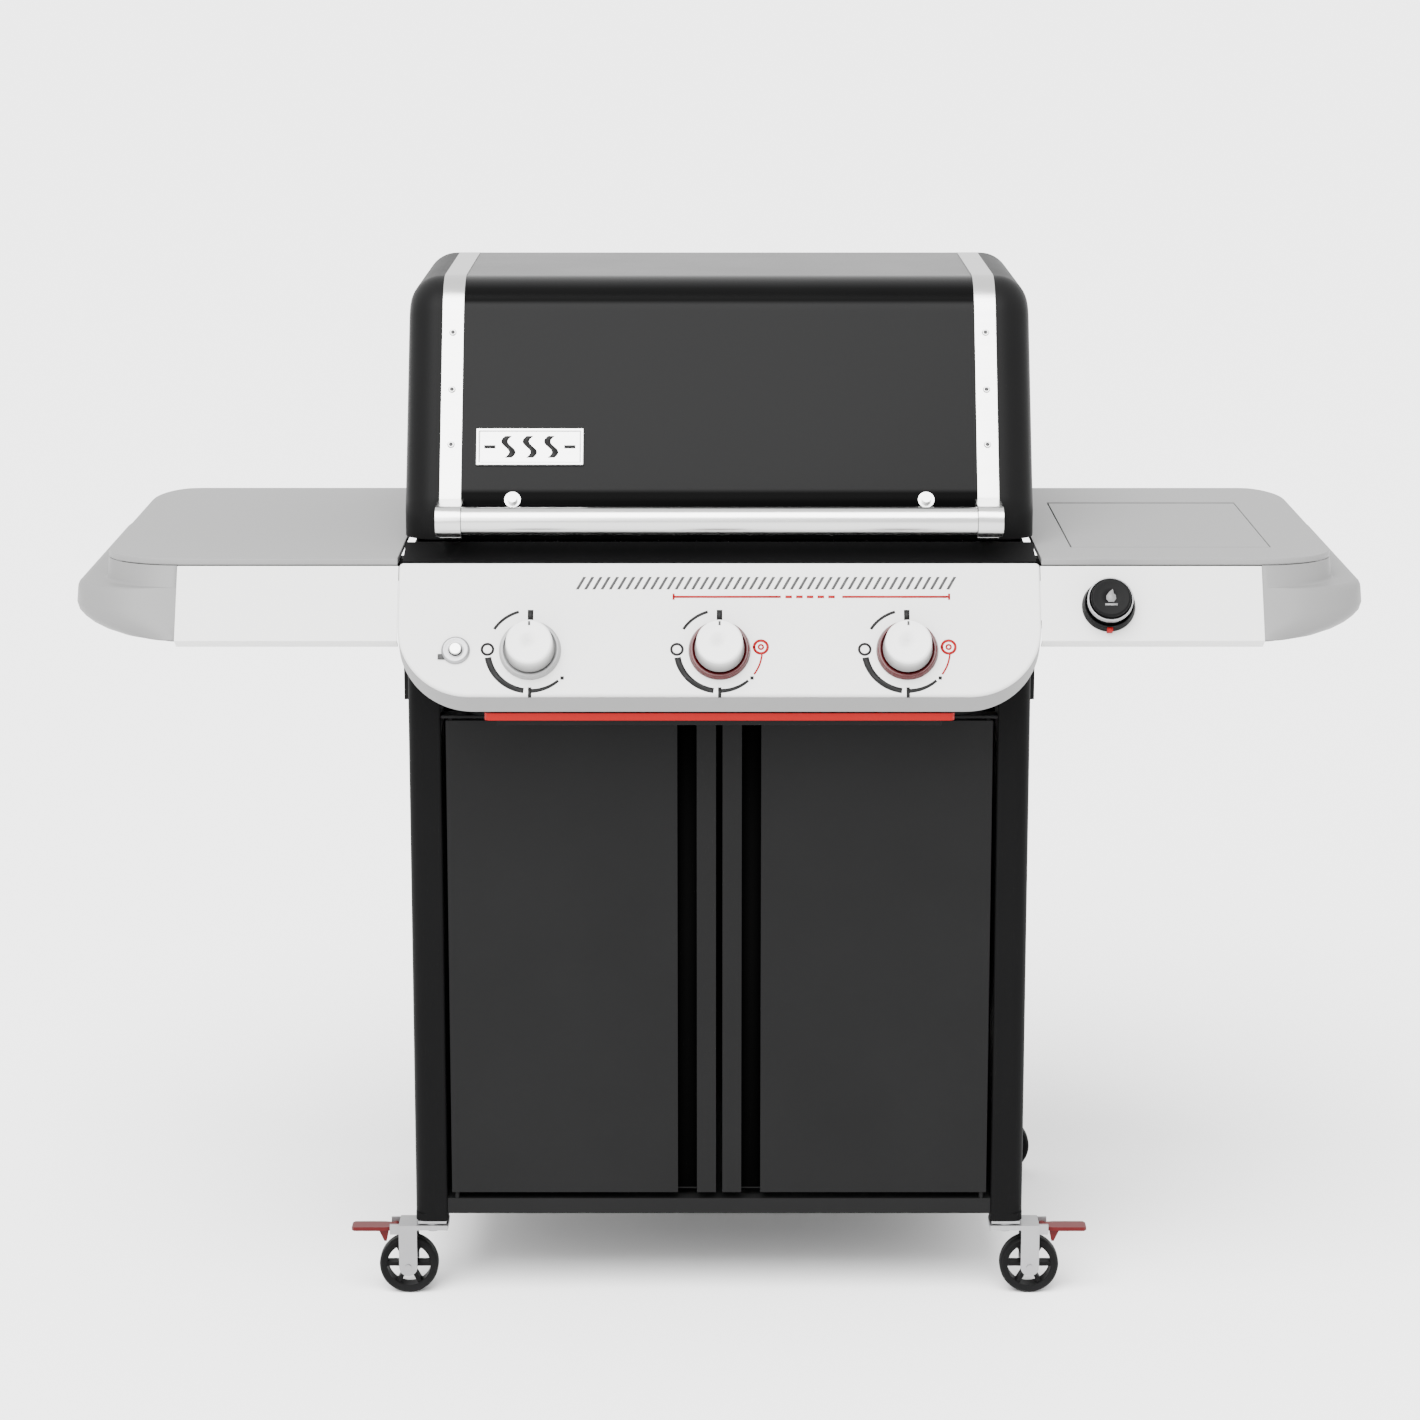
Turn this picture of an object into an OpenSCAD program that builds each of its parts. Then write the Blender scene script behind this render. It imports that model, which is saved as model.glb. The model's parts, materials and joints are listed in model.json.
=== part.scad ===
/* [Overall] */
// Half the width over the side-table end caps
half_w = 790; // [775:1:800]
// Half the depth of the whole grill
half_d = 350; // [345:1:355]
// Height of the top of the lid
top_z = 1266; // [1256:1:1276]

/* [Cabinet] */
// Half the width over the side panels
cab_half_w = 385; // [382:1:388]
// Front plane of the doors and columns
cab_front_y = -223; // [-226:1:-220]
// Rear plane of the cabinet
cab_rear_y = 300; // [296:1:304]
// Width of a column across the front
column_w = 41; // [38:1:48]
// Depth of a column
column_d = 60; // [54:1:64]
// Underside of the columns' foot caps
foot_z = 88; // [88:0.5:90]
// Height of a door's bottom edge
door_z0 = 127; // [125:1:130]
// Height of a door's top edge
door_z1 = 738; // [730:1:738]
// Thickness of a folded door
door_t = 20; // [18:1:22]

/* [Lid] */
// Half the width over the lid's end caps
lid_half_w = 390; // [386:0.5:391]
// Height of the lid's lower edge
lid_z0 = 956; // [956:0.5:958]
// Sheet thickness of the lid
lid_t = 3; // [2:0.5:4]
// Rounding of the end caps' outer edges
cap_round = 40; // [30:1:44]
// Diameter of the handle tube
handle_d = 34; // [30:1:36]

/* [Side tables] */
// Height of the table tops
table_z = 945; // [943:1:947]
// Width of the step below the table's outer edge
ledge_w = 36; // [20:1:40]

/* [Controls] */
// Lean of the control panel from the vertical
panel_lean = 30; // [28:1:32]
// Length of the control panel down its slope
panel_l = 170; // [165:1:172]
// Diameter of a burner knob
knob_d = 60; // [56:1:62]
// Height of a burner knob's face above the panel
knob_h = 35; // [33:1:36]
// Travel of a pushed knob
knob_push = 3; // [2:0.5:3]

/* [Casters] */
// Diameter of a caster wheel
wheel_d = 75; // [72:1:75]
// Offset of a wheel's axle from its swivel pin
trail = 31; // [29:0.5:32]

/* [Hidden] */

white_paint = "#eaeae8";
grey_paint = "#b8b8b6";
black_paint = "#242424";
black_plastic = "#303030";
steel = "#c9c9c7";
red_plastic = "#c23c40";

$fn = 64;
fit = 0.08;            // radial clearance of a running fit
gap = 0.5;             // clearance between separate bodies
lift = 10;             // heights below are drawn this much lower than they stand, casters apart
sheet = 2;             // thickness of cabinet sheet metal
arc_n = 10;            // segments in a rounded corner of an outline
eps = 0.01;

// ---- outlines -------------------------------------------------------------

function unit(v) = v / norm(v);

// arc of radius r that rounds corner b of the path a-b-c
function corner(a, b, c, r, n) =
    let(u = unit(a - b), v = unit(c - b),
        half = acos(u * v) / 2,
        m = b + unit(u + v) * r / sin(half),
        p = b + u * r / tan(half) - m,
        q = b + v * r / tan(half) - m,
        a0 = atan2(p[1], p[0]),
        turn = (atan2(q[1], q[0]) - a0 + 540) % 360 - 180)
    [for (i = [0:n]) m + r * [cos(a0 + turn * i / n), sin(a0 + turn * i / n)]];

// outline p with corner i rounded to radius r[i]
function rounded(p, r, n = arc_n) =
    let(k = len(p))
    [for (i = [0:k - 1]) each corner(p[(i + k - 1) % k], p[i], p[(i + 1) % k], r[i], n)];

// counterclockwise convex outline p moved inwards by d
function inset(p, d) =
    let(k = len(p))
    [for (i = [0:k - 1])
        let(e = unit(p[i] - p[(i + k - 1) % k]), f = unit(p[(i + 1) % k] - p[i]),
            m = [-e[1], e[0]], n = [-f[1], f[0]])
        p[i] + (m + n) * d / (1 + m * n)];

// points along a quarter ellipse from angle a0 to a1
function ellipse_arc(c, a, b, a0, a1, n = arc_n) =
    [for (i = [0:n]) let(t = a0 + (a1 - a0) * i / n) c + [a * cos(t), b * sin(t)]];

// rectangle from x0,y0 to x1,y1
function rect(x0, y0, x1, y1) = [[x0, y0], [x1, y0], [x1, y1], [x0, y1]];

// an outline drawn in Y and Z, drawn out along X
module along_x(x0, x1) {
    translate([x0, 0, 0]) rotate([90, 0, 90]) linear_extrude(x1 - x0) children();
}

module block(a, b) {
    translate(a) cube(b - a);
}

module ring(d, bore, h) {
    difference() {
        cylinder(d = d, h = h);
        translate([0, 0, -1]) cylinder(d = bore, h = h + 2);
    }
}

// child on the right, or its mirror image on the left
module on_side(s) {
    mirror([s < 0 ? 1 : 0, 0, 0]) children();
}

module both_sides() {
    for (s = [-1, 1]) on_side(s) children();
}

// ---- the sloped control face ----------------------------------------------

panel_y = cab_front_y - 25;      // top front edge of the panel
panel_z = table_z - 5;
panel_half_w = 390;
panel_t = 2.5;

// places children on the face: local Z points out of it, local Y up the slope
module on_panel(x, down) {
    translate([x, panel_y - down * sin(panel_lean), panel_z - down * cos(panel_lean)])
        rotate([90 - panel_lean, 0, 0]) children();
}

knob_down = 113;                 // knob centres, down the slope
knob_x = [-229, 0, 227];
dial_x = 472;
dial_down = 56.5;
igniter_x = -319;
stem_d = 8;

// ---- cabinet --------------------------------------------------------------

side_z0 = foot_z + 10;           // lower edge of the side panels
side_z1 = 850;
column_z1 = 828;                 // top of the columns, under the cookbox
column_in = cab_half_w - column_w;
rear_column_y = cab_rear_y - column_d;
column_r = 18;

module column_tube(y0, front) {
    outer = rounded(rect(column_in, y0, cab_half_w, y0 + column_d),
        front ? [4, column_r, 3, 3] : [3, 3, 8, 3], 8);
    difference() {
        linear_extrude(side_z1 - side_z0) polygon(outer);
        translate([0, 0, -1]) linear_extrude(side_z1 - side_z0 + 2) polygon(inset(outer, sheet));
        block([column_in - 1, y0 - 1, column_z1 - side_z0], [cab_half_w - sheet, y0 + column_d + 1, side_z1]);
    }
}

// a sheet side with a rolled column at the front and the back
module side_panel() {
    translate([0, 0, side_z0]) {
        column_tube(cab_front_y, true);
        column_tube(rear_column_y, false);
        translate([cab_half_w - sheet, cab_front_y + column_d - 1, 0])
            cube([sheet, rear_column_y - cab_front_y - column_d + 2, side_z1 - side_z0]);
    }
}

module left_side_panel() { color(black_paint) on_side(-1) side_panel(); }

grommet_y = 20;
grommet_z = 190;

// the right side carries a hose grommet low down
module right_side_panel() {
    color(black_paint) {
        side_panel();
        translate([cab_half_w - eps, grommet_y, grommet_z]) rotate([0, 90, 0])
            difference() {
                cylinder(d1 = 38, d2 = 30, h = 9);
                translate([0, 0, 2]) cylinder(d = 20, h = 8);
            }
    }
}

module cabinet_back() {
    color(black_paint) difference() {
        block([-column_in, cab_rear_y - 4, side_z0], [column_in, cab_rear_y - 4 + sheet, 760]);
        for (x = [-260:40:260], z = [180, 640])
            translate([x - 12, cab_rear_y - 6, z]) cube([24, 6, 7]);
    }
}

floor_z0 = 112;
floor_z1 = 116;
tank_x = -165;
tank_y = 50;

// floor sheet with a locating hole under the gas tank
module cabinet_floor() {
    color(black_paint) difference() {
        union() {
            block([-column_in, cab_front_y + 28, floor_z0], [column_in, cab_rear_y - 4, floor_z1]);
            block([sheet - cab_half_w, cab_front_y + column_d, floor_z0],
                [cab_half_w - sheet, rear_column_y, floor_z1]);
        }
        translate([tank_x, tank_y, floor_z0 - 1]) cylinder(d = 150, h = 8);
    }
}

bottom_rail_z = 118;
top_rail_z = door_z1 + 2;

// the rails between the columns below and above the doors
module front_rails() {
    color(black_paint) {
        difference() {
            block([-column_in, cab_front_y + 2, side_z0], [column_in, cab_front_y + 28, bottom_rail_z]);
            block([-column_in - 1, cab_front_y + 4, side_z0 - 1],
                [column_in + 1, cab_front_y + 29, bottom_rail_z - sheet]);
        }
        block([-column_in, cab_front_y + 2, top_rail_z], [column_in, cab_front_y + 28, top_rail_z + 4]);
    }
}

caster_x = cab_half_w - 21;
caster_front_y = cab_front_y + 18;
caster_rear_y = rear_column_y + 30;

// plastic feet pushed up into the columns
module foot_caps() {
    color(black_plastic) both_sides()
        for (y0 = [cab_front_y, rear_column_y]) {
            translate([0, 0, foot_z]) linear_extrude(side_z0 - foot_z)
                polygon(rounded(rect(column_in, y0, cab_half_w, y0 + column_d), [5, 14, 5, 5], 8));
            translate([0, 0, side_z0]) linear_extrude(14)
                polygon(rect(column_in + 8, y0 + 12, cab_half_w - 8, y0 + column_d - 8));
        }
}

// ---- cookbox and what sits in it ------------------------------------------

box_half_w = 375;
box_rim_z = lid_z0 - 1;
box_front_y = -186;
box_rear_y = 288;
box_floor_z = 790;
box_t = 3;
hinge_y = 318;                   // the lid's hinge axis
hinge_z = 975;
hinge_pin_d = 10;
ear_x0 = 364;
tray_z = 748;
tray_half_w = 270;

module box_section(t) {
    polygon([[box_front_y + t, box_rim_z + t], [box_front_y + t, 842 + t], [-40, box_floor_z + t],
        [100, box_floor_z + t], [box_rear_y - t, 842 + t], [box_rear_y - t, box_rim_z + t]]);
}

// hollow box with a sloped floor, a drain slot, a front ledge, hinge ears and tray runners
module cookbox() {
    color(black_paint) {
        difference() {
            along_x(-box_half_w, box_half_w) box_section(0);
            along_x(box_t - box_half_w, box_half_w - box_t) box_section(box_t);
            block([-200, 0, box_floor_z - 5], [200, 60, box_floor_z + 10]);
            for (x = knob_x) translate([x, box_front_y - 1, burner_z]) rotate([-90, 0, 0])
                cylinder(d = burner_d + 6, h = 8);
        }
        along_x(-386, 386) polygon([[panel_y + 4, panel_z - 2], [box_front_y + 1, box_rim_z - 3],
            [box_front_y + 1, box_rim_z], [panel_y + 4, panel_z + 1]]);
        for (y0 = [box_front_y + box_t - 1, box_rear_y - box_t - 7])
            for (z = [884, 932])
                block([1 - box_half_w, y0, z], [box_half_w - 1, y0 + 8, z + 4]);
        both_sides() {
            difference() {
                union() {
                    along_x(ear_x0, box_half_w) polygon([[255, box_rim_z - 20], [box_rear_y, box_rim_z - 20],
                        [box_rear_y, box_rim_z], [hinge_y - 2, hinge_z - 14],
                        [hinge_y - 2, hinge_z + 14], [255, hinge_z - 4]]);
                    translate([ear_x0, hinge_y, hinge_z]) rotate([0, 90, 0])
                        cylinder(r = 15, h = box_half_w - ear_x0);
                }
                translate([ear_x0 - 1, hinge_y, hinge_z]) rotate([0, 90, 0])
                    cylinder(d = hinge_pin_d, h = box_half_w - ear_x0 + 2);
            }
            block([tray_half_w + 4, -160, tray_z - 4], [tray_half_w + 7, 190, 835]);
            block([tray_half_w - 12, -160, tray_z - 4], [tray_half_w + 4.5, 190, tray_z - 1]);
            block([box_half_w - 2, -150, side_z1], [cab_half_w, 240, side_z1 + 4]);
        }
    }
}

burner_z = 866;
burner_d = 25;

// stainless tubes with a row of ports, closed at the back, open at the front
module burner_tubes() {
    color(steel) for (x = knob_x) translate([x, 0, burner_z]) rotate([-90, 0, 0])
        difference() {
            translate([0, 0, -212]) cylinder(d = burner_d, h = 212 + 262);
            translate([0, 0, -213]) cylinder(d = burner_d - 3, h = 213 + 258);
            for (z = [-150:40:240], a = [55, -55])
                translate([0, 0, z]) rotate([90, 0, a]) cylinder(d = 3, h = burner_d, $fn = 16);
        }
}

bar_w = 70;

// inverted V bars over and between the burners
module heat_bars() {
    color(steel) for (x = [-229, -114.5, 0, 113.5, 227])
        translate([x, box_rear_y - box_t - 0.5, 888]) rotate([90, 0, 0])
            linear_extrude(box_rear_y - box_front_y - 2 * box_t - 1)
                polygon([[-bar_w / 2, 0], [-bar_w / 2 + 2, 0], [0, 32], [bar_w / 2 - 2, 0],
                    [bar_w / 2, 0], [0, 35]]);
}

grate_z = 936;
grate_t = 12;
grate_w = 360;

// two cast grates of parallel bars
module cooking_grates() {
    color("#2a2a2a") both_sides() difference() {
        block([3, box_front_y + box_t + 2, grate_z], [3 + grate_w, box_rear_y - box_t - 2, grate_z + grate_t]);
        for (x = [12:17.5:3 + grate_w - 16], y = [-172, 62])
            block([x, y, grate_z - 1], [x + 10.5, y + (y < 0 ? 222 : 210), grate_z + grate_t + 1]);
    }
}

rack_z = box_rim_z + 88;
rack_y0 = 150;
rack_y1 = 262;

// rod of square section between two corners, w thick
module rod(a, b, w) {
    block([for (i = [0:2]) min(a[i], b[i]) - w / 2], [for (i = [0:2]) max(a[i], b[i]) + w / 2]);
}

// wire rack above the back of the grates, on two end frames
module warming_rack() {
    color(steel) {
        both_sides() {
            for (y = [rack_y0, rack_y1]) rod([322, y, box_rim_z - 4], [322, y, rack_z], 6);
            rod([322, rack_y0, rack_z], [322, rack_y1, rack_z], 6);
            block([316, rack_y0 - 10, box_rim_z - 7], [336, rack_y1 + 10, box_rim_z - 4]);
        }
        for (y = [rack_y0:14:rack_y1]) rod([-322, y, rack_z], [322, y, rack_z], 4);
        for (x = [-160, 0, 160]) rod([x, rack_y0, rack_z - 3], [x, rack_y1, rack_z - 3], 4);
    }
}

// ---- gas supply -----------------------------------------------------------

tank_r = 152;
tank_h = 320;

// half outline of the tank, r outwards and z up, shrunk by t
function tank_half(t) = concat([[0, t]],
    ellipse_arc([0, 85], tank_r - t, 85 - t, -80, 0, 8),
    ellipse_arc([0, tank_h - 85], tank_r - t, 85 - t, 0, 80, 8), [[0, tank_h - t]]);

// hollow steel tank with a foot ring, a collar and a valve
module gas_tank() {
    color("#d8d8d4") translate([tank_x, tank_y, floor_z1]) {
        translate([0, 0, 18]) rotate_extrude() difference() {
            polygon(tank_half(0));
            polygon(tank_half(3));
        }
        ring(206, 200, 44);
        difference() {
            translate([0, 0, 312]) ring(190, 184, 110);
            block([-60, -110, 340], [60, 0, 430]);
            for (s = [-1, 1]) block([s * 90 - 20, -28, 375], [s * 90 + 20, 28, 405]);
        }
        translate([0, 0, 334]) cylinder(d = 30, h = 44);
        translate([0, 0, 357]) rotate([90, 0, 0]) cylinder(d = 26, h = 34);
        translate([0, 0, 377]) cylinder(d = 8, h = 16);
    }
}

wheel_z = floor_z1 + 384;

// lobed handwheel on the tank's valve stem
module tank_handwheel() {
    color("#5a5a58") translate([tank_x, tank_y, wheel_z]) difference() {
        union() {
            cylinder(d = 46, h = 16);
            for (a = [0:60:300]) rotate(a) translate([22.5, 0, 2]) cylinder(d = 13, h = 12);
        }
        translate([0, 0, -1]) cylinder(d = 8 + 2 * fit, h = 11);
    }
}

reg_y = tank_y - 112;
reg_z = floor_z1 + 357;

// coupling nut and regulator housing
module regulator() {
    color("#8c8c8a") translate([tank_x, 0, reg_z]) {
        translate([0, tank_y - 34, 0]) rotate([90, 0, 0]) cylinder(d = 40, h = 26);
        translate([0, tank_y - 60, 0]) rotate([90, 0, 0]) cylinder(d = 16, h = 30);
        translate([0, reg_y, -16]) cylinder(d = 66, h = 22);
        translate([0, reg_y, 6]) cylinder(d1 = 60, d2 = 40, h = 12);
        translate([-50, reg_y, 0]) rotate([0, 90, 0]) cylinder(d = 12, h = 30);
    }
}

hose_d = 9;
inlet_x = -310;
inlet_z = -85;                   // end of the manifold's inlet, behind the panel's face
hose_sides = 8;
hose_step = 2;                   // rings between two points of the route

// the hose's route from the regulator to the manifold
hose_route = [
    [-215, -62, 473], [-240, -62, 474], [-268, -68, 486], [-290, -80, 512], [-303, -97, 552],
    [-309, -118, 600], [-311, -137, 645], [-311, -148, 680], [-311, -150, 700],
    [-311, -154, 724], [-311, -168, 752], [-310, -192, 776],
    [-310, -215, 790.4], [-310, -230.9, 799.6]
];

// point u along a Catmull-Rom curve through p
function curve(p, i, u) =
    let(k = len(p) - 1, a = p[max(i - 1, 0)], b = p[i], c = p[min(i + 1, k)], d = p[min(i + 2, k)])
    0.5 * (2 * b + (c - a) * u + (2 * a - 5 * b + 4 * c - d) * u * u
        + (3 * b - a - 3 * c + d) * u * u * u);

function tube_ring(p, t, r, n) =
    let(u = unit(cross([0, 1, 1], t)), v = cross(t, u))
    [for (j = [0:n - 1]) p + r * (cos(360 * j / n) * u + sin(360 * j / n) * v)];

module swept_tube(path, r, n) {
    k = len(path);
    points = [for (i = [0:k - 1])
        each tube_ring(path[i], unit(path[min(i + 1, k - 1)] - path[max(i - 1, 0)]), r, n)];
    sides = [for (i = [0:k - 2], j = [0:n - 1])
        [i * n + j, (i + 1) * n + j, (i + 1) * n + (j + 1) % n, i * n + (j + 1) % n]];
    ends = [[for (j = [0:n - 1]) j], [for (j = [n - 1:-1:0]) (k - 1) * n + j]];
    polyhedron(points, concat(sides, ends), convexity = 6);
}

module gas_hose() {
    path = [for (i = [0:len(hose_route) - 2], s = [0:hose_step - 1])
        curve(hose_route, i, s / hose_step)];
    color("#1c1c1c") swept_tube(concat(path, [hose_route[len(hose_route) - 1]]), hose_d / 2, hose_sides);
}

manifold_d = 22;
manifold_z = -66;
side_pipe_d = 10;
riser_x = 320;

// pipe behind the panel, with a thin branch up to the side burner's valve
module gas_manifold() {
    color(steel) on_panel(0, knob_down) difference() {
        union() {
            translate([-330, 0, manifold_z]) rotate([0, 90, 0]) cylinder(d = manifold_d, h = riser_x + 342);
            translate([riser_x, 0, manifold_z]) rotate([-90, 0, 0])
                cylinder(d = side_pipe_d + 2, h = knob_down - dial_down + 7);
            translate([riser_x, knob_down - dial_down, manifold_z]) rotate([0, 90, 0])
                cylinder(d = side_pipe_d, h = dial_x - riser_x + 6);
            translate([inlet_x, 0, inlet_z]) cylinder(d = 13, h = manifold_z - inlet_z);
        }
        translate([-326, 0, manifold_z]) rotate([0, 90, 0]) cylinder(d = manifold_d - 5, h = riser_x + 334);
        for (x = knob_x) translate([x, 0, manifold_z]) cylinder(d = 10, h = 20);
    }
}

plug_d = 14;

module valve_body() {
    difference() {
        translate([0, 0, manifold_z + manifold_d / 2]) cylinder(d = 26, h = 39);
        translate([0, 0, -50]) cylinder(d = plug_d, h = 40);
    }
}

// brass bodies of the burner valves, with nozzles into the burner tubes
module valve_bodies() {
    color("#b08d4a") {
        for (x = knob_x) {
            on_panel(x, knob_down) {
                valve_body();
                translate([0, 0, manifold_z + 5]) cylinder(d = 10, h = 8);
            }
            difference() {
                union() {
                    translate([x, -256, 821]) cylinder(d = 10, h = burner_z + 5 - 821);
                    translate([x, -256, burner_z]) rotate([-90, 0, 0]) cylinder(d = 9, h = 50);
                }
                on_panel(x, knob_down) translate([0, 0, -50]) cylinder(d = plug_d, h = 40);
            }
        }
        on_panel(dial_x, dial_down) {
            valve_body();
            translate([0, 0, manifold_z + side_pipe_d / 2 + 1]) cylinder(d = 8, h = 6);
        }
        on_panel(dial_x, dial_down) translate([0, 8, -42]) rotate([-90, 0, 0]) cylinder(d = 9, h = 26);
    }
}

// turning plug of a valve, with the stem that carries the knob
module valve_plug() {
    color("#b08d4a") {
        translate([0, 0, -49]) cylinder(d = plug_d - 2 * fit, h = 30);
        translate([0, 0, -20]) cylinder(d = stem_d, h = 46);
    }
}

module valve_plug_1() { on_panel(knob_x[0], knob_down) valve_plug(); }
module valve_plug_2() { on_panel(knob_x[1], knob_down) valve_plug(); }
module valve_plug_3() { on_panel(knob_x[2], knob_down) valve_plug(); }
module side_valve_plug() { on_panel(dial_x, dial_down) valve_plug(); }

// ---- controls -------------------------------------------------------------

knob_z0 = 7;                     // underside of a knob, above the face

// hollow round knob with a hub bored for the stem
module turned_knob(d, h) {
    r = d / 2;
    bore = stem_d / 2 + fit;
    rotate_extrude() polygon([
        [bore, knob_z0], [8, knob_z0], [8, h - 5], [r - 5, h - 5], [r - 3, knob_z0], [r, knob_z0],
        [r + 0.5, knob_z0 + 2], [r - 1.5, h - 2.5], [r - 4, h], [0, h], [0, 30], [bore, 30]]);
}

module knob() { color(white_paint) turned_knob(knob_d, knob_h); }

module knob_1() { on_panel(knob_x[0], knob_down) knob(); }
module knob_2() { on_panel(knob_x[1], knob_down) knob(); }
module knob_3() { on_panel(knob_x[2], knob_down) knob(); }

dial_d = 55;

module side_burner_dial() {
    color(black_plastic) on_panel(dial_x, dial_down) turned_knob(dial_d, knob_h);
}

// ring round the foot of a knob
module bezel(d, bore, h) {
    rotate_extrude() polygon([[9, 0], [d / 2, 0], [d / 2, 2], [d / 2 - 2.5, h], [bore / 2, h],
        [bore / 2, 2.5], [9, 2.5]]);
}

button_d = 15;

// ring and barrel that hold the igniter button
module igniter_barrel() {
    bore = button_d / 2 + fit;
    rotate_extrude() polygon([[bore, -12], [10.5, -12], [10.5, -40], [0, -40], [0, -42], [12.5, -42],
        [12.5, 0], [17.5, 0], [17.5, 3], [16, 4.5], [bore, 4.5]]);
}

module control_bezels() {
    color("#4a2426") {
        for (x = knob_x) on_panel(x, knob_down) bezel(75, knob_d + 4, 8);
        on_panel(dial_x, dial_down) bezel(65, dial_d + 3, 12);
        on_panel(igniter_x, knob_down) igniter_barrel();
    }
}

module igniter_button() {
    color(steel) on_panel(igniter_x, knob_down) rotate_extrude()
        polygon([[0, -16], [9.5, -16], [9.5, -13], [button_d / 2, -13], [button_d / 2, 8],
            [button_d / 2 - 1, 9], [0, 9]]);
}

panel_corner_r = 88;
skirt_d = 28;                    // depth of the skirt round the panel
skirt_drop = 12.65;              // the skirt's lower edge reaches this far past the face

// outline of the panel in the face's plane, grown downwards by g
function panel_outline(g, d) = inset(rounded(
    [[-panel_half_w, -panel_l - g], [panel_half_w, -panel_l - g], [panel_half_w, 0], [-panel_half_w, 0]],
    [panel_corner_r, panel_corner_r, 6, 6], 8), d);

skirt_steps = 5;
skirt_wall = 4.5;

// shallow pan: the sloped face, and a skirt that steps back and down below it
module control_panel() {
    step = (skirt_d - panel_t) / skirt_steps;
    color(white_paint) on_panel(0, 0) {
        translate([0, 0, -panel_t]) linear_extrude(panel_t) difference() {
            polygon(panel_outline(0, 0));
            for (x = knob_x) translate([x, -knob_down]) circle(d = stem_d + 6);
            translate([igniter_x, -knob_down]) circle(d = 25.2);
        }
        for (i = [1:skirt_steps]) translate([0, 0, -panel_t - i * step]) linear_extrude(step)
            difference() {
                polygon(panel_outline(skirt_drop * i / skirt_steps, 0));
                polygon(panel_outline(skirt_drop * i / skirt_steps, skirt_wall));
            }
    }
}

// ---- side tables ----------------------------------------------------------

table_in = 392;
table_front_y = panel_y;
table_back_y = 317;
plate_half_w = half_w - ledge_w;
cap_x = 660;
well = [435, -164, 683, 193];    // opening for the side burner: x0, y0, x1, y1

// plan of a table top, or of the part of it outside x_in
function table_outline(x_in, x_out, y_front) = let(a = min(97, x_out - x_in - 1)) concat(
    [[x_in, y_front]],
    ellipse_arc([x_out - a, y_front + 77], a, 77, -90, 0),
    ellipse_arc([x_out - min(50, a), table_back_y - 100], min(50, a), 100, 0, 90),
    [[x_in, table_back_y]]);

module table_top() {
    difference() {
        outline = table_outline(table_in, plate_half_w, table_front_y);
        translate([0, 0, table_z - 8]) linear_extrude(8) polygon(outline);
        translate([0, 0, table_z - 9]) linear_extrude(7) polygon(inset(outline, 3));
    }
}

module left_table_top() { color(grey_paint) on_side(-1) table_top(); }

// the right table top has a well for the side burner's lid and burner
module right_table_top() {
    color(grey_paint) difference() {
        table_top();
        block([well[0], well[1], table_z - 10], [well[2], well[3], table_z + 1]);
    }
}

fascia_l = 101;

// flat fronts of the tables, in the plane of the control panel
module table_fascias() {
    color(white_paint) for (s = [-1, 1]) difference() {
        on_panel(0, 0) on_side(s) {
            translate([panel_half_w + gap, -fascia_l, -3]) cube([cap_x - panel_half_w - gap, fascia_l - 4, 3]);
            translate([panel_half_w + gap, -fascia_l, -22]) cube([cap_x - panel_half_w - gap, 3, 20]);
        }
        if (s > 0) on_panel(dial_x, dial_down) translate([0, 0, -10]) cylinder(d = stem_d + 6, h = 20);
    }
}

bracket_y = [-200, 222];
slope = tan(panel_lean);
ledge_z = table_z - 33;

// a level slice of the end cap whose front edge lies on the control face's plane
module cap_slice(z, x_out, d) {
    translate([0, 0, z]) linear_extrude(0.5)
        polygon(inset(table_outline(cap_x, x_out, table_front_y - (panel_z - z) * slope), d));
}

// moulded end of a table: a wall under the plate, a ledge, and a bowl-shaped lower wall
module end_cap() {
    foot = panel_z - fascia_l * cos(panel_lean);
    difference() {
        union() {
            hull() {
                cap_slice(table_z - 8.5, plate_half_w, 0);
                cap_slice(ledge_z - 1, plate_half_w, 0);
            }
            hull() {
                cap_slice(ledge_z - 0.5, half_w - 8, 0);
                cap_slice(ledge_z - 4, half_w - 2, 0);
                cap_slice(ledge_z - 10, half_w, 0);
                cap_slice(ledge_z - 26, half_w, 0);
                cap_slice(foot + 19, half_w - 12, 0);
                cap_slice(foot + 8, half_w - 30, 0);
                cap_slice(foot, half_w - 72, 0);
            }
        }
        hull() {
            cap_slice(table_z - 6, plate_half_w, 3);
            cap_slice(ledge_z - 8, plate_half_w, 3);
        }
        hull() {
            cap_slice(ledge_z - 4, half_w - 8, 3);
            cap_slice(ledge_z - 11, half_w, 3);
            cap_slice(ledge_z - 26, half_w, 3);
            cap_slice(foot + 20, half_w - 14, 3);
            cap_slice(foot - 2, half_w - 74, 3);
        }
        for (y = bracket_y) block([cap_x - 1, y - gap, table_z - 36 - gap], [cap_x + 20 + gap, y + 22 + gap, table_z]);
    }
}

module left_end_cap() { color(grey_paint) on_side(-1) end_cap(); }

// the right end cap's inner wall is cut away for the side burner
module right_end_cap() {
    color(grey_paint) difference() {
        end_cap();
        block([cap_x - 1, well[1] + 2, bowl_z - gap], [cap_x + 4, well[3] + gap, table_z + 1]);
    }
}

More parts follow.
